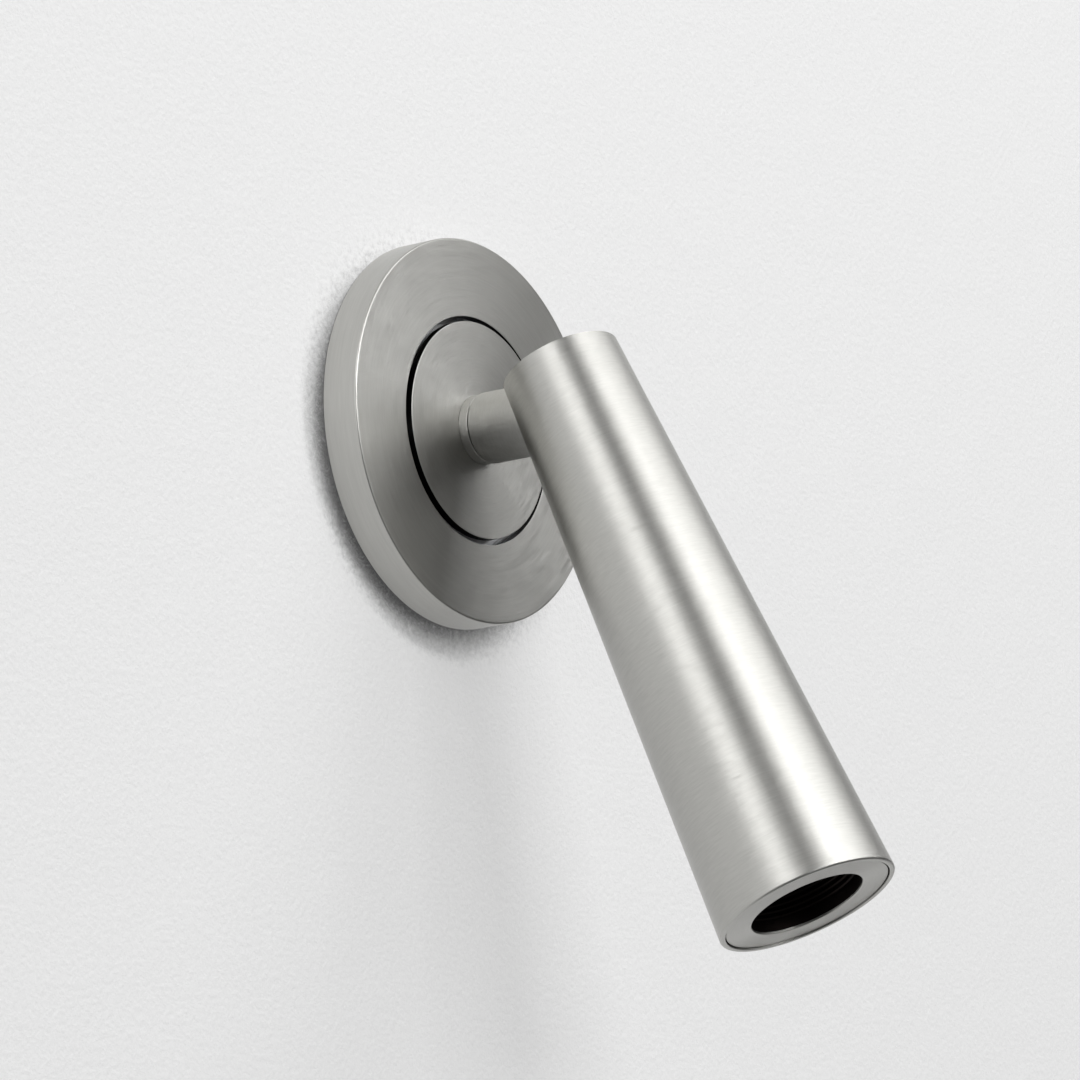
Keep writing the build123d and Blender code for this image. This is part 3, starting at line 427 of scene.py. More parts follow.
def chip_on_board(name, ceramic, phosphor):
    """An LED, off: a yellow phosphor disc within its pale frame."""
    finish = Finish(name)
    x, y, _ = finish.split(finish.coords(HEAD_PLACE))
    inside = finish.math("LESS_THAN", radius_of(x, y), LED_R - LED_FRAME)
    grain = finish.noise(finish.coords(), per_metre=3000)
    base = finish.tint(inside * 0.95 + grain * 0.05, ceramic, phosphor)
    roughness = finish.between(grain, 0.4, 0.6)
    normal = finish.bump(grain, FINE_DEPTH)
    return finish.made_of(base_color=base, roughness=roughness, normal=normal)


def clear_plastic(name, tone):
    """A moulded acrylic lens, with a hint of flow in its surface."""
    finish = Finish(name)
    flow = finish.noise(finish.coords(HEAD_PLACE), per_metre=250)
    roughness = finish.between(flow, 0.01, 0.05)
    normal = finish.bump(flow, FINE_DEPTH)
    return finish.made_of(
        base_color=tone, roughness=roughness, ior=1.49, transmission_weight=1.0, normal=normal
    )


FINISHES = {
    "zinc_steel": (plated_metal, (0.62, 0.63, 0.64)),
    "bracket_steel": (sheet_metal, WALL_PLACE, (0.55, 0.56, 0.57)),
    "carrier_aluminium": (turned_metal, WALL_PLACE, (0.72, 0.73, 0.74), 0.35),
    "bare_aluminium": (turned_metal, HEAD_PLACE, (0.72, 0.73, 0.74), 0.35),
    "brass": (turned_metal, WALL_PLACE, (0.72, 0.53, 0.26), 0.28, 0.5),
    "copper": (wound, (0.62, 0.27, 0.13), 0.45),
    "white_plastic": (moulded, (0.78, 0.78, 0.75), 0.42),
    "grey_plastic": (moulded, (0.30, 0.30, 0.31), 0.45),
    "black_plastic": (moulded, (0.022, 0.022, 0.023), 0.45),
    "natural_acetal": (moulded, (0.80, 0.79, 0.74), 0.33, 0.4, 0.004),
    "black_acetal": (moulded, (0.018, 0.018, 0.018), 0.35, 0.4, 0.004),
    "lead_sheath": (moulded, (0.60, 0.60, 0.59), 0.4, 0.5, 0.006),
    "led_lead_sheath": (moulded, (0.50, 0.03, 0.025), 0.38, 0.5, 0.006),
    "earth_green": (striped_lead, (0.03, 0.28, 0.07), (0.80, 0.66, 0.04)),
    "black_rubber": (moulded, (0.015, 0.015, 0.015), 0.7, 0.15, 0.015),
    "grey_pad": (moulded, (0.36, 0.38, 0.42), 0.75, 0.3, 0.02),
    "board_green": (circuit_board, (0.012, 0.10, 0.035), (0.05, 0.24, 0.09)),
    "board_white": (circuit_board, (0.74, 0.75, 0.73), (0.82, 0.82, 0.80), 2.2),
    "can_blue": (sleeve_can, (0.02, 0.05, 0.22), (0.6, 0.64, 0.7), (0.7, 0.7, 0.7)),
    "tape_yellow": (wound, (0.80, 0.58, 0.06), 1.0),
    "phosphor": (chip_on_board, (0.72, 0.72, 0.70), (0.85, 0.62, 0.08)),
    "clear_lens": (clear_plastic, (0.97, 0.98, 0.98)),
}
SPECIAL_FINISH = {"carrier_plate": "carrier_aluminium"}


def material_of(name):
    """A finish's material, made once."""
    make, *settings = FINISHES[name]
    return bpy.data.materials.get(name) or make(name, *settings)


def material_for(node):
    return material_of(SPECIAL_FINISH.get(node, SLOT_OF[node]))


# ======== Mesh building ========
MERGE = 1e-7  # points nearer than this are one
CAD_MERGE = 1e-6


def object_of(bm, name):
    """A new object that takes a bmesh's shape."""
    mesh = bpy.data.meshes.new(name)
    bm.to_mesh(mesh)
    bm.free()
    piece = bpy.data.objects.new(name, mesh)
    bpy.context.scene.collection.objects.link(piece)
    return piece


def finished(bm, name, material, node, smooth_deg):
    """Makes a piece with the given material; it takes the body of the solid that it stands for, and
    hides that solid.
    """
    piece = object_of(bm, name)
    piece.data.materials.append(material)
    piece.data.shade_smooth()
    piece.data.set_sharp_from_angle(angle=radians(smooth_deg))
    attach(piece, NODES[node]["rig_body"])
    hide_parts(node)
    return piece


def weighted(piece):
    """Keeps flat faces flat beside their rounded edges."""
    modifier = piece.modifiers.new("flat_faces", "WEIGHTED_NORMAL")
    modifier.keep_sharp = True
    return piece


def bevelled(bm, geom, width, segments, affect):
    bmesh.ops.bevel(
        bm,
        geom=geom,
        offset=width,
        offset_type="OFFSET",
        segments=segments,
        profile=0.5,
        affect=affect,
        material=-1,
        clamp_overlap=True,
    )


def turned(outline, steps):
    """Turns a closed outline of (radius, height, corner rounding) points about the z axis."""
    bm = bmesh.new()
    corners = [bm.verts.new((radius, 0, height)) for radius, height, _ in outline]
    bm.faces.new(corners)
    for corner, (_, _, rounding) in zip(corners, outline):
        if rounding:
            bevelled(bm, [corner], rounding, 4, "VERTICES")
    bmesh.ops.delete(bm, geom=bm.faces[:], context="FACES_ONLY")
    wire = bm.verts[:] + bm.edges[:]
    bmesh.ops.spin(
        bm, geom=wire, cent=(0, 0, 0), axis=(0, 0, 1), angle=2 * pi, steps=steps, use_merge=True
    )
    bmesh.ops.remove_doubles(bm, verts=bm.verts, dist=MERGE)
    bmesh.ops.recalc_face_normals(bm, faces=bm.faces)
    return bm


def turned_piece(name, outline, place, material, node, steps):
    bm = turned(outline, steps)
    bmesh.ops.transform(bm, matrix=place, verts=bm.verts)
    return weighted(finished(bm, name, material, node, 35))


def dressed(node, edge_mm):
    """A cut or moulded part with its edges broken, on a clean copy of its solid's mesh."""
    bm = bmesh.new()
    bm.from_mesh(NODES[node].data)
    bmesh.ops.remove_doubles(bm, verts=bm.verts, dist=CAD_MERGE)
    bmesh.ops.dissolve_limit(bm, angle_limit=radians(1), verts=bm.verts, edges=bm.edges)
    piece = finished(bm, node + "_finished", material_for(node), node, 30)
    modifier = piece.modifiers.new("broken_edges", "BEVEL")
    modifier.width, modifier.segments, modifier.profile = edge_mm * MM, 2, 0.5
    modifier.limit_method, modifier.angle_limit = "ANGLE", radians(35)
    return weighted(piece)


def painted(*names):
    """Gives solids that stay as they are their finish."""
    for node in names:
        for slot in NODES[node].material_slots:
            slot.material = material_for(node)


def cut_away(bm, cutter):
    """One closed bmesh less another."""
    kept, cut = object_of(bm, "kept"), object_of(cutter, "cut")
    modifier = kept.modifiers.new("cut", "BOOLEAN")
    modifier.operation, modifier.solver, modifier.object = "DIFFERENCE", "EXACT", cut
    bpy.context.view_layer.update()
    result = bmesh.new()
    result.from_object(kept, bpy.context.evaluated_depsgraph_get())
    for piece in (kept, cut):
        mesh = piece.data
        bpy.data.objects.remove(piece)
        bpy.data.meshes.remove(mesh)
    bmesh.ops.remove_doubles(result, verts=result.verts, dist=MERGE)
    return result


def rod(radius, reach, turn=None):
    """A closed cylinder from the origin up the z axis, or turned from it."""
    bm = bmesh.new()
    bmesh.ops.create_cone(
        bm, cap_ends=True, segments=128, radius1=radius, radius2=radius, depth=reach
    )
    bmesh.ops.translate(bm, vec=(0, 0, reach / 2), verts=bm.verts)
    if turn is not None:
        bmesh.ops.transform(bm, matrix=turn, verts=bm.verts)
    return bm


def quarter_block(half_width, reach):
    """The block between the two ends of the tilt, up the head and towards the wall."""
    bm = bmesh.new()
    bmesh.ops.create_cube(bm, size=1)
    bmesh.ops.scale(bm, vec=(2 * half_width, reach, reach), verts=bm.verts)
    bmesh.ops.translate(bm, vec=(0, reach / 2, reach / 2), verts=bm.verts)
    return bm


def round_edges(bm, width, segments, wanted):
    """Rounds the sharp edges that are wanted."""
    sharp = [
        edge
        for edge in bm.edges
        if edge.is_manifold and edge.calc_face_angle(0) > radians(30) and wanted(edge)
    ]
    bevelled(bm, sharp, width, segments, "EDGES")


# ======== Pieces ========
CLEARANCE = 0.05 * MM  # between turned pieces that fit in each other


class WALL_LIGHT_OT_rose(Operator):
    """Make the rose: cover ring, inner disc and collar"""

    bl_idname = "wall_light.rose"
    bl_label = "Rose"

    def execute(self, context):
        sizes, colours = context.scene.wall_light_sizes, context.scene.wall_light_colours
        edge = sizes.edge_round
        ring_rim, ring_edge, disc_edge, collar_edge = 0.45 * MM, 0.1 * MM, 0.15 * MM, 0.12 * MM

        def satin(name, edge_height):
            # the gap between the cover ring and the disc gets painted shade on its walls
            painted_shade_gap = (DISC_R - CLEARANCE, sizes.ring_bore + CLEARANCE, edge_height)
            return turned_metal(name, WALL_PLACE, colours.nickel, 0.34, 0.5, painted_shade_gap=painted_shade_gap)

        back = RING_FACE - sizes.ring_skin
        ring = [
            (sizes.ring_seat, 0, 0),
            (RING_R, 0, edge),
            (RING_R, RING_FACE, ring_rim),
            (sizes.ring_bore, RING_FACE, ring_edge),
            (sizes.ring_bore, back, 0),
            (sizes.ring_seat, back, 0),
        ]
        nickel = satin("satin_nickel_ring", RING_FACE - ring_edge)
        turned_piece("cover_ring", ring, WALL_PLACE, nickel, "rose_ring", steps=256)

        hole = sizes.neck_r + CLEARANCE
        disc = [
            (hole, DISC_BACK, 0),
            (DISC_R, DISC_BACK, disc_edge),
            (DISC_R, DISC_FACE, disc_edge),
            (hole, DISC_FACE, 0),
        ]
        nickel = satin("satin_nickel_disc", DISC_FACE - disc_edge)
        turned_piece("rose_disc", disc, WALL_PLACE, nickel, "inner_disc", steps=192)

        collar = [
            (sizes.collar_bore, COLLAR_START, 0),
            (sizes.neck_r, COLLAR_START, 0),
            (sizes.neck_r, DISC_FACE, 0),
            (COLLAR_R, DISC_FACE, collar_edge),
            (COLLAR_R, COLLAR_FACE, edge),
            (sizes.collar_bore, COLLAR_FACE, 0),
        ]
        nickel = turned_metal("satin_nickel_rose", WALL_PLACE, colours.nickel)
        turned_piece("stem_collar", collar, WALL_PLACE, nickel, "base_collar", steps=128)
        return {"FINISHED"}


class WALL_LIGHT_OT_stem(Operator):
    """Make the stem's turned tube"""

    bl_idname = "wall_light.stem"
    bl_label = "Stem"

    def execute(self, context):
        sizes, colours = context.scene.wall_light_sizes, context.scene.wall_light_colours
        nickel = turned_metal("satin_nickel_stem", WALL_PLACE, colours.nickel, 0.33, 0.6)
        end_round = 0.3 * MM
        stem = [
            (sizes.stem_bore, STEM_START, 0),
            (STEM_R, STEM_START, sizes.edge_round),
            (STEM_R, STEM_END, end_round),
            (sizes.stem_socket, STEM_END, 0),
            (sizes.stem_socket, sizes.socket_start, 0),
            (sizes.stem_bore, sizes.socket_start, 0),
        ]
        turned_piece("stem", stem, WALL_PLACE, nickel, "stem_tube", steps=128)
        return {"FINISHED"}


class WALL_LIGHT_OT_spindle(Operator):
    """Make the threaded spindle that holds the stem in the rose"""

    bl_idname = "wall_light.spindle"
    bl_label = "Spindle"

    def execute(self, context):
        sizes = context.scene.wall_light_sizes
        root = SPINDLE_R - sizes.thread_depth
        crest_round, end_round = 0.05 * MM, 0.3 * MM
        spindle = [(sizes.spindle_bore, SPINDLE_START, 0), (root, SPINDLE_START, 0)]
        for turn in range(round(sizes.thread_length / sizes.thread_pitch)):
            height = SPINDLE_START + turn * sizes.thread_pitch
            spindle.append((SPINDLE_R, height + 0.5 * sizes.thread_pitch, crest_round))
            spindle.append((root, height + sizes.thread_pitch, crest_round))
        spindle.append((SPINDLE_R, spindle[-1][1] + 0.5 * sizes.thread_pitch, 0))
        spindle.append((SPINDLE_R, SPINDLE_END, end_round))
        spindle.append((sizes.spindle_bore, SPINDLE_END, 0))
        steel = material_of("zinc_steel")
        turned_piece("spindle", spindle, WALL_PLACE, steel, "threaded_spindle", steps=96)
        return {"FINISHED"}


class WALL_LIGHT_OT_head(Operator):
    """Make the head's tapered tube and its end cap, both slotted for the stem"""

    bl_idname = "wall_light.head"
    bl_label = "Head"

    def execute(self, context):
        sizes, colours = context.scene.wall_light_sizes, context.scene.wall_light_colours
        nickel = turned_metal("satin_nickel_head", HEAD_PLACE, colours.nickel, 0.34, 0.5, 1.3)
        taper = (sizes.head_end_r - sizes.head_top_r) / (HEAD_TOP - HEAD_END)
        web_end = sizes.web_top - sizes.web_t
        seat = SEAT_R + CLEARANCE
        reach = 30 * MM  # of the cutters, past the head's side and top
        end_round, seat_edge, rim_round, slot_edge = 0.5 * MM, 0.15 * MM, 0.6 * MM, 0.18 * MM
        cap_edge, cap_slot_edge = 0.1 * MM, 0.12 * MM

        def bore(height):
            return sizes.head_top_r + (HEAD_TOP - height) * taper - sizes.shell_wall

        shell = turned(
            [
                (sizes.socket_r, HEAD_TOP, 0),
                (sizes.head_top_r, HEAD_TOP, 0),
                (sizes.head_end_r, HEAD_END, end_round),
                (seat, HEAD_END, seat_edge),
                (seat, SEAT_TOP, 0),
                (bore(SEAT_TOP), SEAT_TOP, 0),
                (bore(web_end), web_end, 0),
                (sizes.grommet_r, web_end, 0),
                (sizes.grommet_r, sizes.web_top, 0),
                (sizes.socket_r, sizes.web_top, 0),
            ],
            steps=256,
        )
        toward_wall = Matrix.Rotation(radians(-90), 4, "X")
        shell = cut_away(shell, rod(sizes.slot_r, reach, toward_wall))
        shell = cut_away(shell, quarter_block(sizes.slot_r, reach))
        rim = sizes.head_top_r - 0.3 * MM
        slot_side = sizes.slot_r + 0.01 * MM
        slot_end = -9 * MM

        def on_rim(edge):
            return all(v.co.z > HEAD_TOP - CAD_MERGE and v.co.xy.length > rim for v in edge.verts)

        def on_slot(edge):
            corners = [v.co for v in edge.verts]
            return all(c.y > 0 and abs(c.x) < slot_side and c.z > slot_end for c in corners)

        round_edges(shell, rim_round, 4, on_rim)
        round_edges(shell, slot_edge, 2, on_slot)
        bmesh.ops.transform(shell, matrix=HEAD_PLACE, verts=shell.verts)
        weighted(finished(shell, "head_tube", nickel, "head_shell", 40))

        cap = turned(
            [
                (0, CAP_START, 0),
                (CAP_R, CAP_START, 0),
                (CAP_R, CAP_TOP, cap_edge),
                (0, CAP_TOP, 0),
            ],
            steps=192,
        )
        cap = cut_away(cap, rod(sizes.slot_r, reach))
        cap = cut_away(cap, quarter_block(sizes.slot_r, reach))
        cut_r = CAP_R - 0.2 * MM
        round_edges(cap, cap_slot_edge, 2, lambda edge: edge.verts[0].co.xy.length < cut_r)
        bmesh.ops.transform(cap, matrix=HEAD_PLACE, verts=cap.verts)
        weighted(finished(cap, "head_end_cap", nickel, "head_cap", 40))
        return {"FINISHED"}


class WALL_LIGHT_OT_light_end(Operator):
    """Make the bezel ring, and the dark ribbed recess behind it"""

    bl_idname = "wall_light.light_end"
    bl_label = "Light end"

    def execute(self, context):
        sizes, colours = context.scene.wall_light_sizes, context.scene.wall_light_colours
        mouth_round, face_edge = 0.25 * MM, 0.15 * MM
        lip = BAFFLE_LIP_R + 0.2 * MM
        sleeve_end = BEZEL_FACE + 0.5 * MM
        bezel = [
            (sizes.light_r, BEZEL_FACE, mouth_round),
            (sizes.bezel_r, BEZEL_FACE, face_edge),
            (sizes.bezel_r, BAFFLE_END, 0),
            (SEAT_R, BAFFLE_END, 0),
            (SEAT_R, SEAT_TOP, 0),
            (lip, SEAT_TOP, 0),
            (lip, BAFFLE_END, 0),
            (sizes.light_r + sizes.sleeve_t, BAFFLE_END, 0),
            (sizes.light_r + sizes.sleeve_t, sleeve_end, 0),
            (sizes.light_r, sleeve_end, 0),
        ]
        nickel = turned_metal("satin_nickel_bezel", HEAD_PLACE, colours.nickel, 0.33, 0.7)
        turned_piece("bezel", bezel, HEAD_PLACE, nickel, "bezel_ring", steps=192)

        wall, depth = sizes.recess_t, BAFFLE_TOP - BAFFLE_END
        sleeve_r = sizes.light_r + sizes.sleeve_t - 0.02 * MM
        ribs, rib_slope = 14, 0.75  # the share of a rib that slopes out

        def inner(share):
            return sizes.light_r + (sizes.recess_r - sizes.light_r) * share

        recess = [
            (sizes.recess_r, BAFFLE_TOP, 0),
            (LENS_HOLDER_R, BAFFLE_TOP, 0),
            (LENS_HOLDER_R, BAFFLE_TOP - wall, 0),
            (sizes.recess_r + wall, BAFFLE_TOP - wall, 0),
            (sizes.light_r + wall, BAFFLE_END + wall, 0),
            (BAFFLE_LIP_R, BAFFLE_END + wall, 0),
            (BAFFLE_LIP_R, BAFFLE_END, 0),
            (sleeve_r, BAFFLE_END, 0),
            (sleeve_r, sleeve_end, 0),
            (sizes.light_r + 0.03 * MM, sleeve_end, 0),
        ]
        for rib in range(ribs):
            low, mid = rib / ribs, (rib + rib_slope) / ribs
            recess.append((inner(low), BAFFLE_END + depth * low, 0))
            recess.append((inner(mid) + sizes.recess_rib, BAFFLE_END + depth * mid, 0))
        black = turned_metal("recess_black", HEAD_PLACE, colours.recess, 0.45, 0.6)
        turned_piece("light_recess", recess, HEAD_PLACE, black, "baffle", steps=128)
        return {"FINISHED"}


class WALL_LIGHT_OT_optics(Operator):
    """Make the lens, and finish the LED and what holds them"""

    bl_idname = "wall_light.optics"
    bl_label = "Lens and LED"

    def execute(self, context):
        sizes = context.scene.wall_light_sizes
        cup_r, cup_floor = 3.2 * MM, LENS_TOP - 3.4 * MM  # the hollow over the LED
        top_r = 4.6 * MM
        side_r, side = 8.9 * MM, LENS_TOP - 3.6 * MM
        flange = LENS_END + 1.5 * MM
        flange_edge = 0.15 * MM
        lens = [
            (0, cup_floor, 0),
            (cup_r, cup_floor, 0.4 * MM),
            (cup_r, LENS_TOP, 0),
            (top_r, LENS_TOP, 0.2 * MM),
            (side_r, side, 1.5 * MM),
            (sizes.recess_r, flange, 0.3 * MM),
            (LENS_R, flange, flange_edge),
            (LENS_R, LENS_END, flange_edge),
            (0, LENS_END, 0),
        ]
        acrylic = material_of("clear_lens")
        turned_piece("lens_moulding", lens, HEAD_PLACE, acrylic, "lens", steps=128)
        painted("led_emitter", "led_board", "thermal_pad", "led_board_screws", "lens_holder")
        return {"FINISHED"}


class WALL_LIGHT_OT_hinge(Operator):
    """Finish the tilt hinge: knuckle, yoke, pivot screws and washers"""

    bl_idname = "wall_light.hinge"
    bl_label = "Hinge"

    def execute(self, context):
        for node, edge_mm in (("knuckle", 0.2), ("hinge_yoke", 0.15), ("pivot_screws", 0.15)):
            dressed(node, edge_mm)
        painted("friction_washers", "hinge_yoke_screws", "lead_grommet", "stem_lead", "head_lead")
        return {"FINISHED"}


class WALL_LIGHT_OT_inside(Operator):
    """Finish what the head holds: driver, its board and the heat sink"""

    bl_idname = "wall_light.inside"
    bl_label = "Driver and heat sink"

    def execute(self, context):
        painted(
            "driver_case",
            "driver_lid",
            "driver_board",
            "driver_capacitor",
            "driver_transformer",
            "driver_inductor",
            "driver_chip",
            "led_leads",
            "heat_sink",
        )
        return {"FINISHED"}


class WALL_LIGHT_OT_fixings(Operator):
    """Finish what is behind the rose: bracket, carrier, terminal block, earth and swivel parts"""

    bl_idname = "wall_light.fixings"
    bl_label = "Wall fixings"

    def execute(self, context):
        edges_mm = {
            "wall_bracket": 0.2,
            "carrier_plate": 0.2,
            "terminal_block": 0.35,
            "terminal_screws": 0.1,
            "terminal_block_screw": 0.15,
            "carrier_screws": 0.15,
            "earth_screw": 0.15,
            "earth_washer": 0.1,
            "earth_ring_terminal": 0.1,
            "spindle_nuts": 0.3,
            "stop_washer": 0.12,
            "lead_plug": 0.3,
        }
        for node, edge_mm in edges_mm.items():
            dressed(node, edge_mm)
        painted(
            "earth_lead",
            "supply_lead",
            "stop_pin",
            "spring_washer",
            "swivel_bush",
            "thrust_washer",
        )
        return {"FINISHED"}


# ======== Stage ========
CAMERA_AZIMUTH, CAMERA_ELEVATION, CAMERA_ROLL = radians(-54.16), radians(-8.62), radians(-4.07)
CAMERA_DISTANCE = 1.3549
CAMERA_LENS, CAMERA_SENSOR = 200.0, 36.0
CAMERA_SIGHT = 20
IMAGE_SIZE = 1080
ROSE_IN_IMAGE = (444.885, 436.8425)  # where the rose's centre on the wall lies, in pixels

# Soft lamps on a sphere round the light: name, degrees right of straight out, degrees up,
# degrees wide and high, and brightness. Together they light a surface that faces the room to a
# plain level.
LAMPS = (
    ("left_edge", -79, 29, 22, 60, 2.7),
    ("key", -10, 18, 22, 22, 5.2),
    ("key_high", -10, 40, 22, 22, 2.9),
    ("front_low", 12, -4, 22, 22, 1.0),
    ("front", 12, 18, 22, 22, 1.7),
    ("front_high", 12, 40, 22, 22, 1.4),
    ("overhead", 16, 62, 26, 22, 1.4),
    ("right", 34, 20, 22, 20, 2.9),
    ("right_high", 35, 41, 22, 22, 1.8),
    ("right_fill", 58, 40, 22, 30, 0.6),
    ("right_edge", 80, 42, 22, 28, 0.6),
    ("behind_wall", 150, 25, 50, 50, 1.6),
    ("behind_wall_left", -140, 10, 50, 50, 1.0),
)
LAMP_DISTANCE = 1.6
ROOM_LEVEL = 0.12  # the dim room between the lamps
BACKDROP = 0.87  # what the camera sees past the wall
WHITE = (1, 1, 1, 1)

WALL_HOLE_R = RING_R - 0.4 * MM  # behind the rose
WALL_SPREAD = 80  # how many times wider than its hole the wall is
PALE_WALL = 0.84  # the wall's own pale level
PALE_SHARE = 0.5  # the share of the wall that shows it
# The painted shadow round the rose: the direction its occlusion test leans to, then its reach,
# start, contrast, depth and ragged edge
LIT_FROM = (0.74, -0.34, 0.58)  # where most light on the wall comes from
SHADE_REACH = 9 * MM
SHADE_START, SHADE_CONTRAST = 0.5, 3.8
SHADE_DEPTH = 0.9
SHADE_ROUGHNESS = 0.4  # of its outer edge
ROLLER_DEPTH = 0.4 * MM


def away(azimuth, elevation):
    """The direction of a point in the room, from straight out of the wall."""
    return Vector(
        (sin(azimuth) * cos(elevation), -cos(azimuth) * cos(elevation), sin(elevation))
    )


def camera_place():
    """The photograph's viewpoint: a turn about the rose's centre, then a shift of the camera."""
    focal = CAMERA_LENS / CAMERA_SENSOR * IMAGE_SIZE
    back = away(CAMERA_AZIMUTH, CAMERA_ELEVATION)
    level = (-back).cross(Vector((0, 0, 1))).normalized()
    upright = level.cross(-back)
    right = cos(CAMERA_ROLL) * level + sin(CAMERA_ROLL) * upright
    up = cos(CAMERA_ROLL) * upright - sin(CAMERA_ROLL) * level
    across = (ROSE_IN_IMAGE[0] - IMAGE_SIZE / 2) / focal * CAMERA_DISTANCE
    down = (ROSE_IN_IMAGE[1] - IMAGE_SIZE / 2) / focal * CAMERA_DISTANCE
    place = back * CAMERA_DISTANCE - right * across + up * down
    turn = Matrix((right, up, back)).transposed().to_4x4()
    return Matrix.Translation(place) @ turn


def softbox(name, azimuth, elevation, wide, high, level):
    """A soft rectangular lamp that faces the light; level is its own brightness."""
    toward = away(radians(azimuth), radians(elevation))
    lamp = bpy.data.lights.new(name, "AREA")
    lamp.shape = "RECTANGLE"
    lamp.size = 2 * LAMP_DISTANCE * tan(radians(wide / 2))
    lamp.size_y = 2 * LAMP_DISTANCE * tan(radians(high / 2))
    lamp.energy = level * pi * lamp.size * lamp.size_y
    place = bpy.data.objects.new(name, lamp)
    bpy.context.scene.collection.objects.link(place)
    place.location = toward * LAMP_DISTANCE
    place.rotation_mode = "QUATERNION"
    place.rotation_quaternion = toward.to_track_quat("Z", "Y")
    place.visible_camera = False


def wall_paint(tone):
    """Matt paint with a fine roller texture, and a painted shadow: its colour is darkened round the
    rose, where the rose would shade it, for the camera only.

    The camera, mirror images and glass show a share of it at the pale level of a studio backdrop.
    From behind it can be seen through."""
    finish = Finish("wall_paint")
    place = finish.coords()
    roller = finish.noise(place, per_metre=700, detail=5.0, rough=0.62)
    waves = finish.noise(place, per_metre=60)
    # Painted shadow: ambient occlusion tilted towards LIT_FROM, with a ragged edge from the roller
    # texture, darkens the paint and its pale glow near the rose; only camera rays see it
    open_share = finish.add(
        "ShaderNodeAmbientOcclusion",
        {"samples": 4},
        {"Distance": SHADE_REACH, "Normal": finish.join(*LIT_FROM)},
        "AO",
    )
    rough_edge = (roller - 0.5) * SHADE_ROUGHNESS
    lit = (open_share + rough_edge - SHADE_START) * SHADE_CONTRAST
    seen = finish.ray("Camera")
    lit = finish.math("SMOOTH_MIN", lit, 1.0, 0.2)
    lit = finish.math("MAXIMUM", lit, 1.0 - SHADE_DEPTH * seen)
    shown = finish.math("MAXIMUM", seen, finish.ray("Glossy"))
    shown = finish.math("MAXIMUM", shown, finish.ray("Transmission"))
    share = shown * PALE_SHARE
    level = lit * finish.between(roller, 0.95, 1.05)
    paint = finish.principled(
        base_color=finish.tint(level * (1.0 - share), BLACK, tone),
        roughness=0.75,
        normal=finish.bump(roller + waves, ROLLER_DEPTH),
        emission_color=finish.tint(level * share, BLACK, (PALE_WALL,) * 3),
        emission_strength=1.0,
    )
    behind = finish.add("ShaderNodeNewGeometry", None, None, "Backfacing")
    clear = finish.add("ShaderNodeBsdfTransparent")
    either = {0: seen * behind, 1: paint, 2: clear}
    return finish.output(finish.add("ShaderNodeMixShader", None, either))


def room():
    """A dim room for the light that falls on the object, and a pale backdrop for the camera."""
    finish = Finish("room", "worlds")
    seen = finish.math("MAXIMUM", finish.ray("Camera"), finish.ray("Transmission"))
    dim = finish.add("ShaderNodeBackground", None, {"Color": WHITE, "Strength": ROOM_LEVEL})
    pale = finish.add("ShaderNodeBackground", None, {"Color": WHITE, "Strength": BACKDROP})
    either = finish.add("ShaderNodeMixShader", None, {0: seen, 1: dim, 2: pale})
    return finish.output(either, "World")


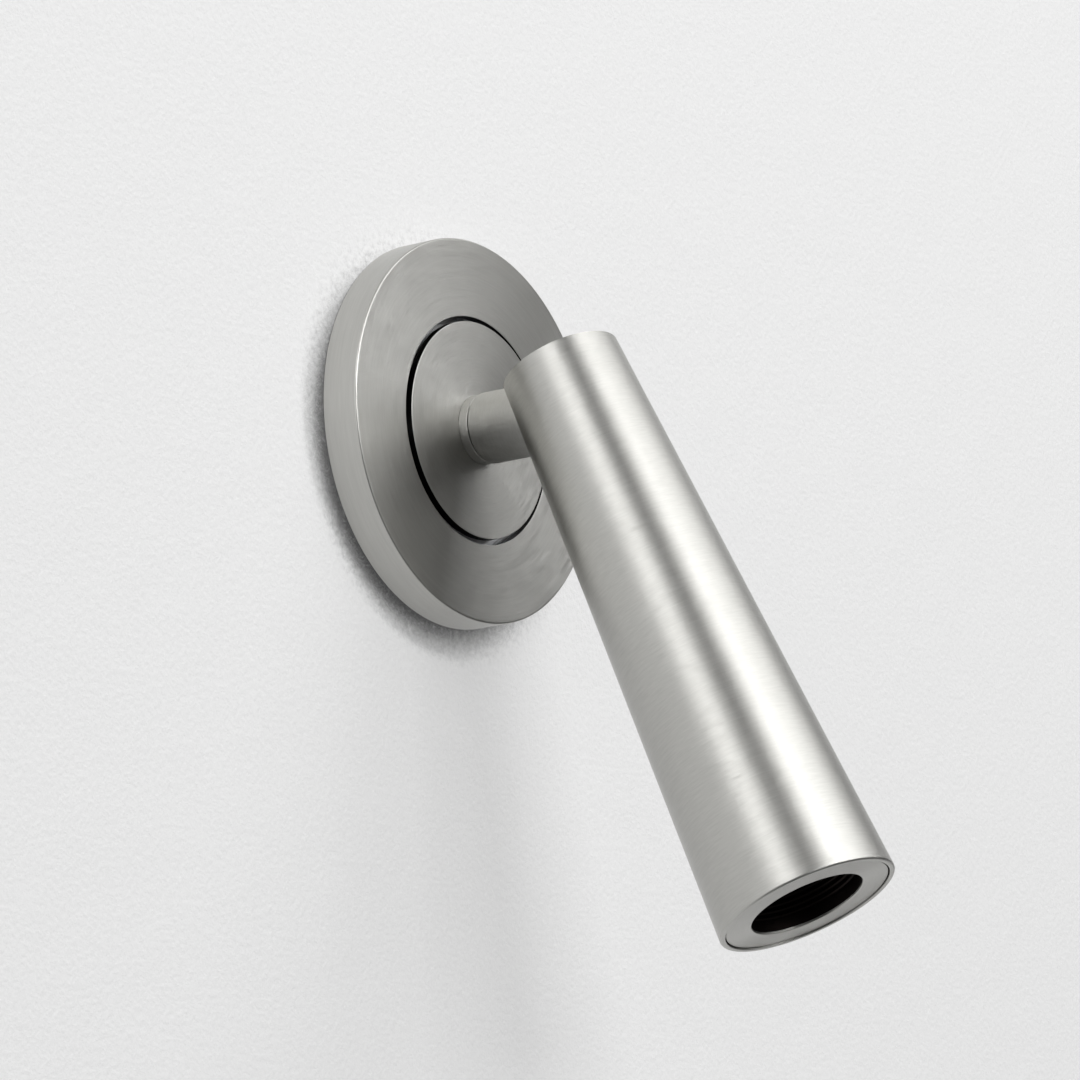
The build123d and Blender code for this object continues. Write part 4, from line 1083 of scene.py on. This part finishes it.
class WALL_LIGHT_OT_stage(Operator):
    """Make the wall, the lamps, the surroundings and the camera"""

    bl_idname = "wall_light.stage"
    bl_label = "Stage"

    def execute(self, context):
        scene = context.scene
        camera = bpy.data.objects.new("camera", bpy.data.cameras.new("camera"))
        scene.collection.objects.link(camera)
        camera.data.lens, camera.data.sensor_width = CAMERA_LENS, CAMERA_SENSOR
        camera.data.clip_end = CAMERA_SIGHT
        camera.matrix_world = camera_place()
        scene.camera = camera
        scene.view_settings.view_transform = "Standard"

        bm = bmesh.new()
        bmesh.ops.create_circle(bm, cap_ends=False, radius=WALL_HOLE_R, segments=192)
        outer = bmesh.ops.extrude_edge_only(bm, edges=bm.edges[:])
        grown = [v for v in outer["geom"] if isinstance(v, bmesh.types.BMVert)]
        bmesh.ops.scale(bm, vec=(WALL_SPREAD,) * 3, verts=grown)
        bmesh.ops.transform(bm, matrix=WALL_PLACE, verts=bm.verts)
        bmesh.ops.recalc_face_normals(bm, faces=bm.faces)
        bm.normal_update()
        if next(iter(bm.faces)).normal.y > 0:
            bmesh.ops.reverse_faces(bm, faces=bm.faces)
        wall = object_of(bm, "wall")
        wall.data.materials.append(wall_paint(scene.wall_light_colours.wall))

        for lamp in LAMPS:
            softbox(*lamp)
        scene.world = room()
        return {"FINISHED"}


class WALL_LIGHT_PT_panel(Panel):
    """Lists the pieces of the wall light"""

    bl_label = "Tube Wall Light"
    bl_idname = "WALL_LIGHT_PT_panel"
    bl_space_type = "VIEW_3D"
    bl_region_type = "UI"
    bl_category = "Wall Light"

    def draw(self, context):
        for operator in OPERATORS:
            self.layout.operator(operator.bl_idname)


OPERATORS = (
    WALL_LIGHT_OT_rose,
    WALL_LIGHT_OT_stem,
    WALL_LIGHT_OT_spindle,
    WALL_LIGHT_OT_head,
    WALL_LIGHT_OT_light_end,
    WALL_LIGHT_OT_optics,
    WALL_LIGHT_OT_hinge,
    WALL_LIGHT_OT_inside,
    WALL_LIGHT_OT_fixings,
    WALL_LIGHT_OT_stage,
)
CLASSES = (WallLightSizes, WallLightColours, *OPERATORS, WALL_LIGHT_PT_panel)


def register():
    for cls in CLASSES:
        bpy.utils.register_class(cls)
    bpy.types.Scene.wall_light_sizes = PointerProperty(type=WallLightSizes)
    bpy.types.Scene.wall_light_colours = PointerProperty(type=WallLightColours)


def unregister():
    for cls in reversed(CLASSES):
        bpy.utils.unregister_class(cls)
    del bpy.types.Scene.wall_light_sizes
    del bpy.types.Scene.wall_light_colours


def main():
    register()
    bpy.ops.wall_light.rose()
    bpy.ops.wall_light.stem()
    bpy.ops.wall_light.spindle()
    bpy.ops.wall_light.head()
    bpy.ops.wall_light.light_end()
    bpy.ops.wall_light.optics()
    bpy.ops.wall_light.hinge()
    bpy.ops.wall_light.inside()
    bpy.ops.wall_light.fixings()
    bpy.ops.wall_light.stage()


if __name__ == "__main__":
    main()
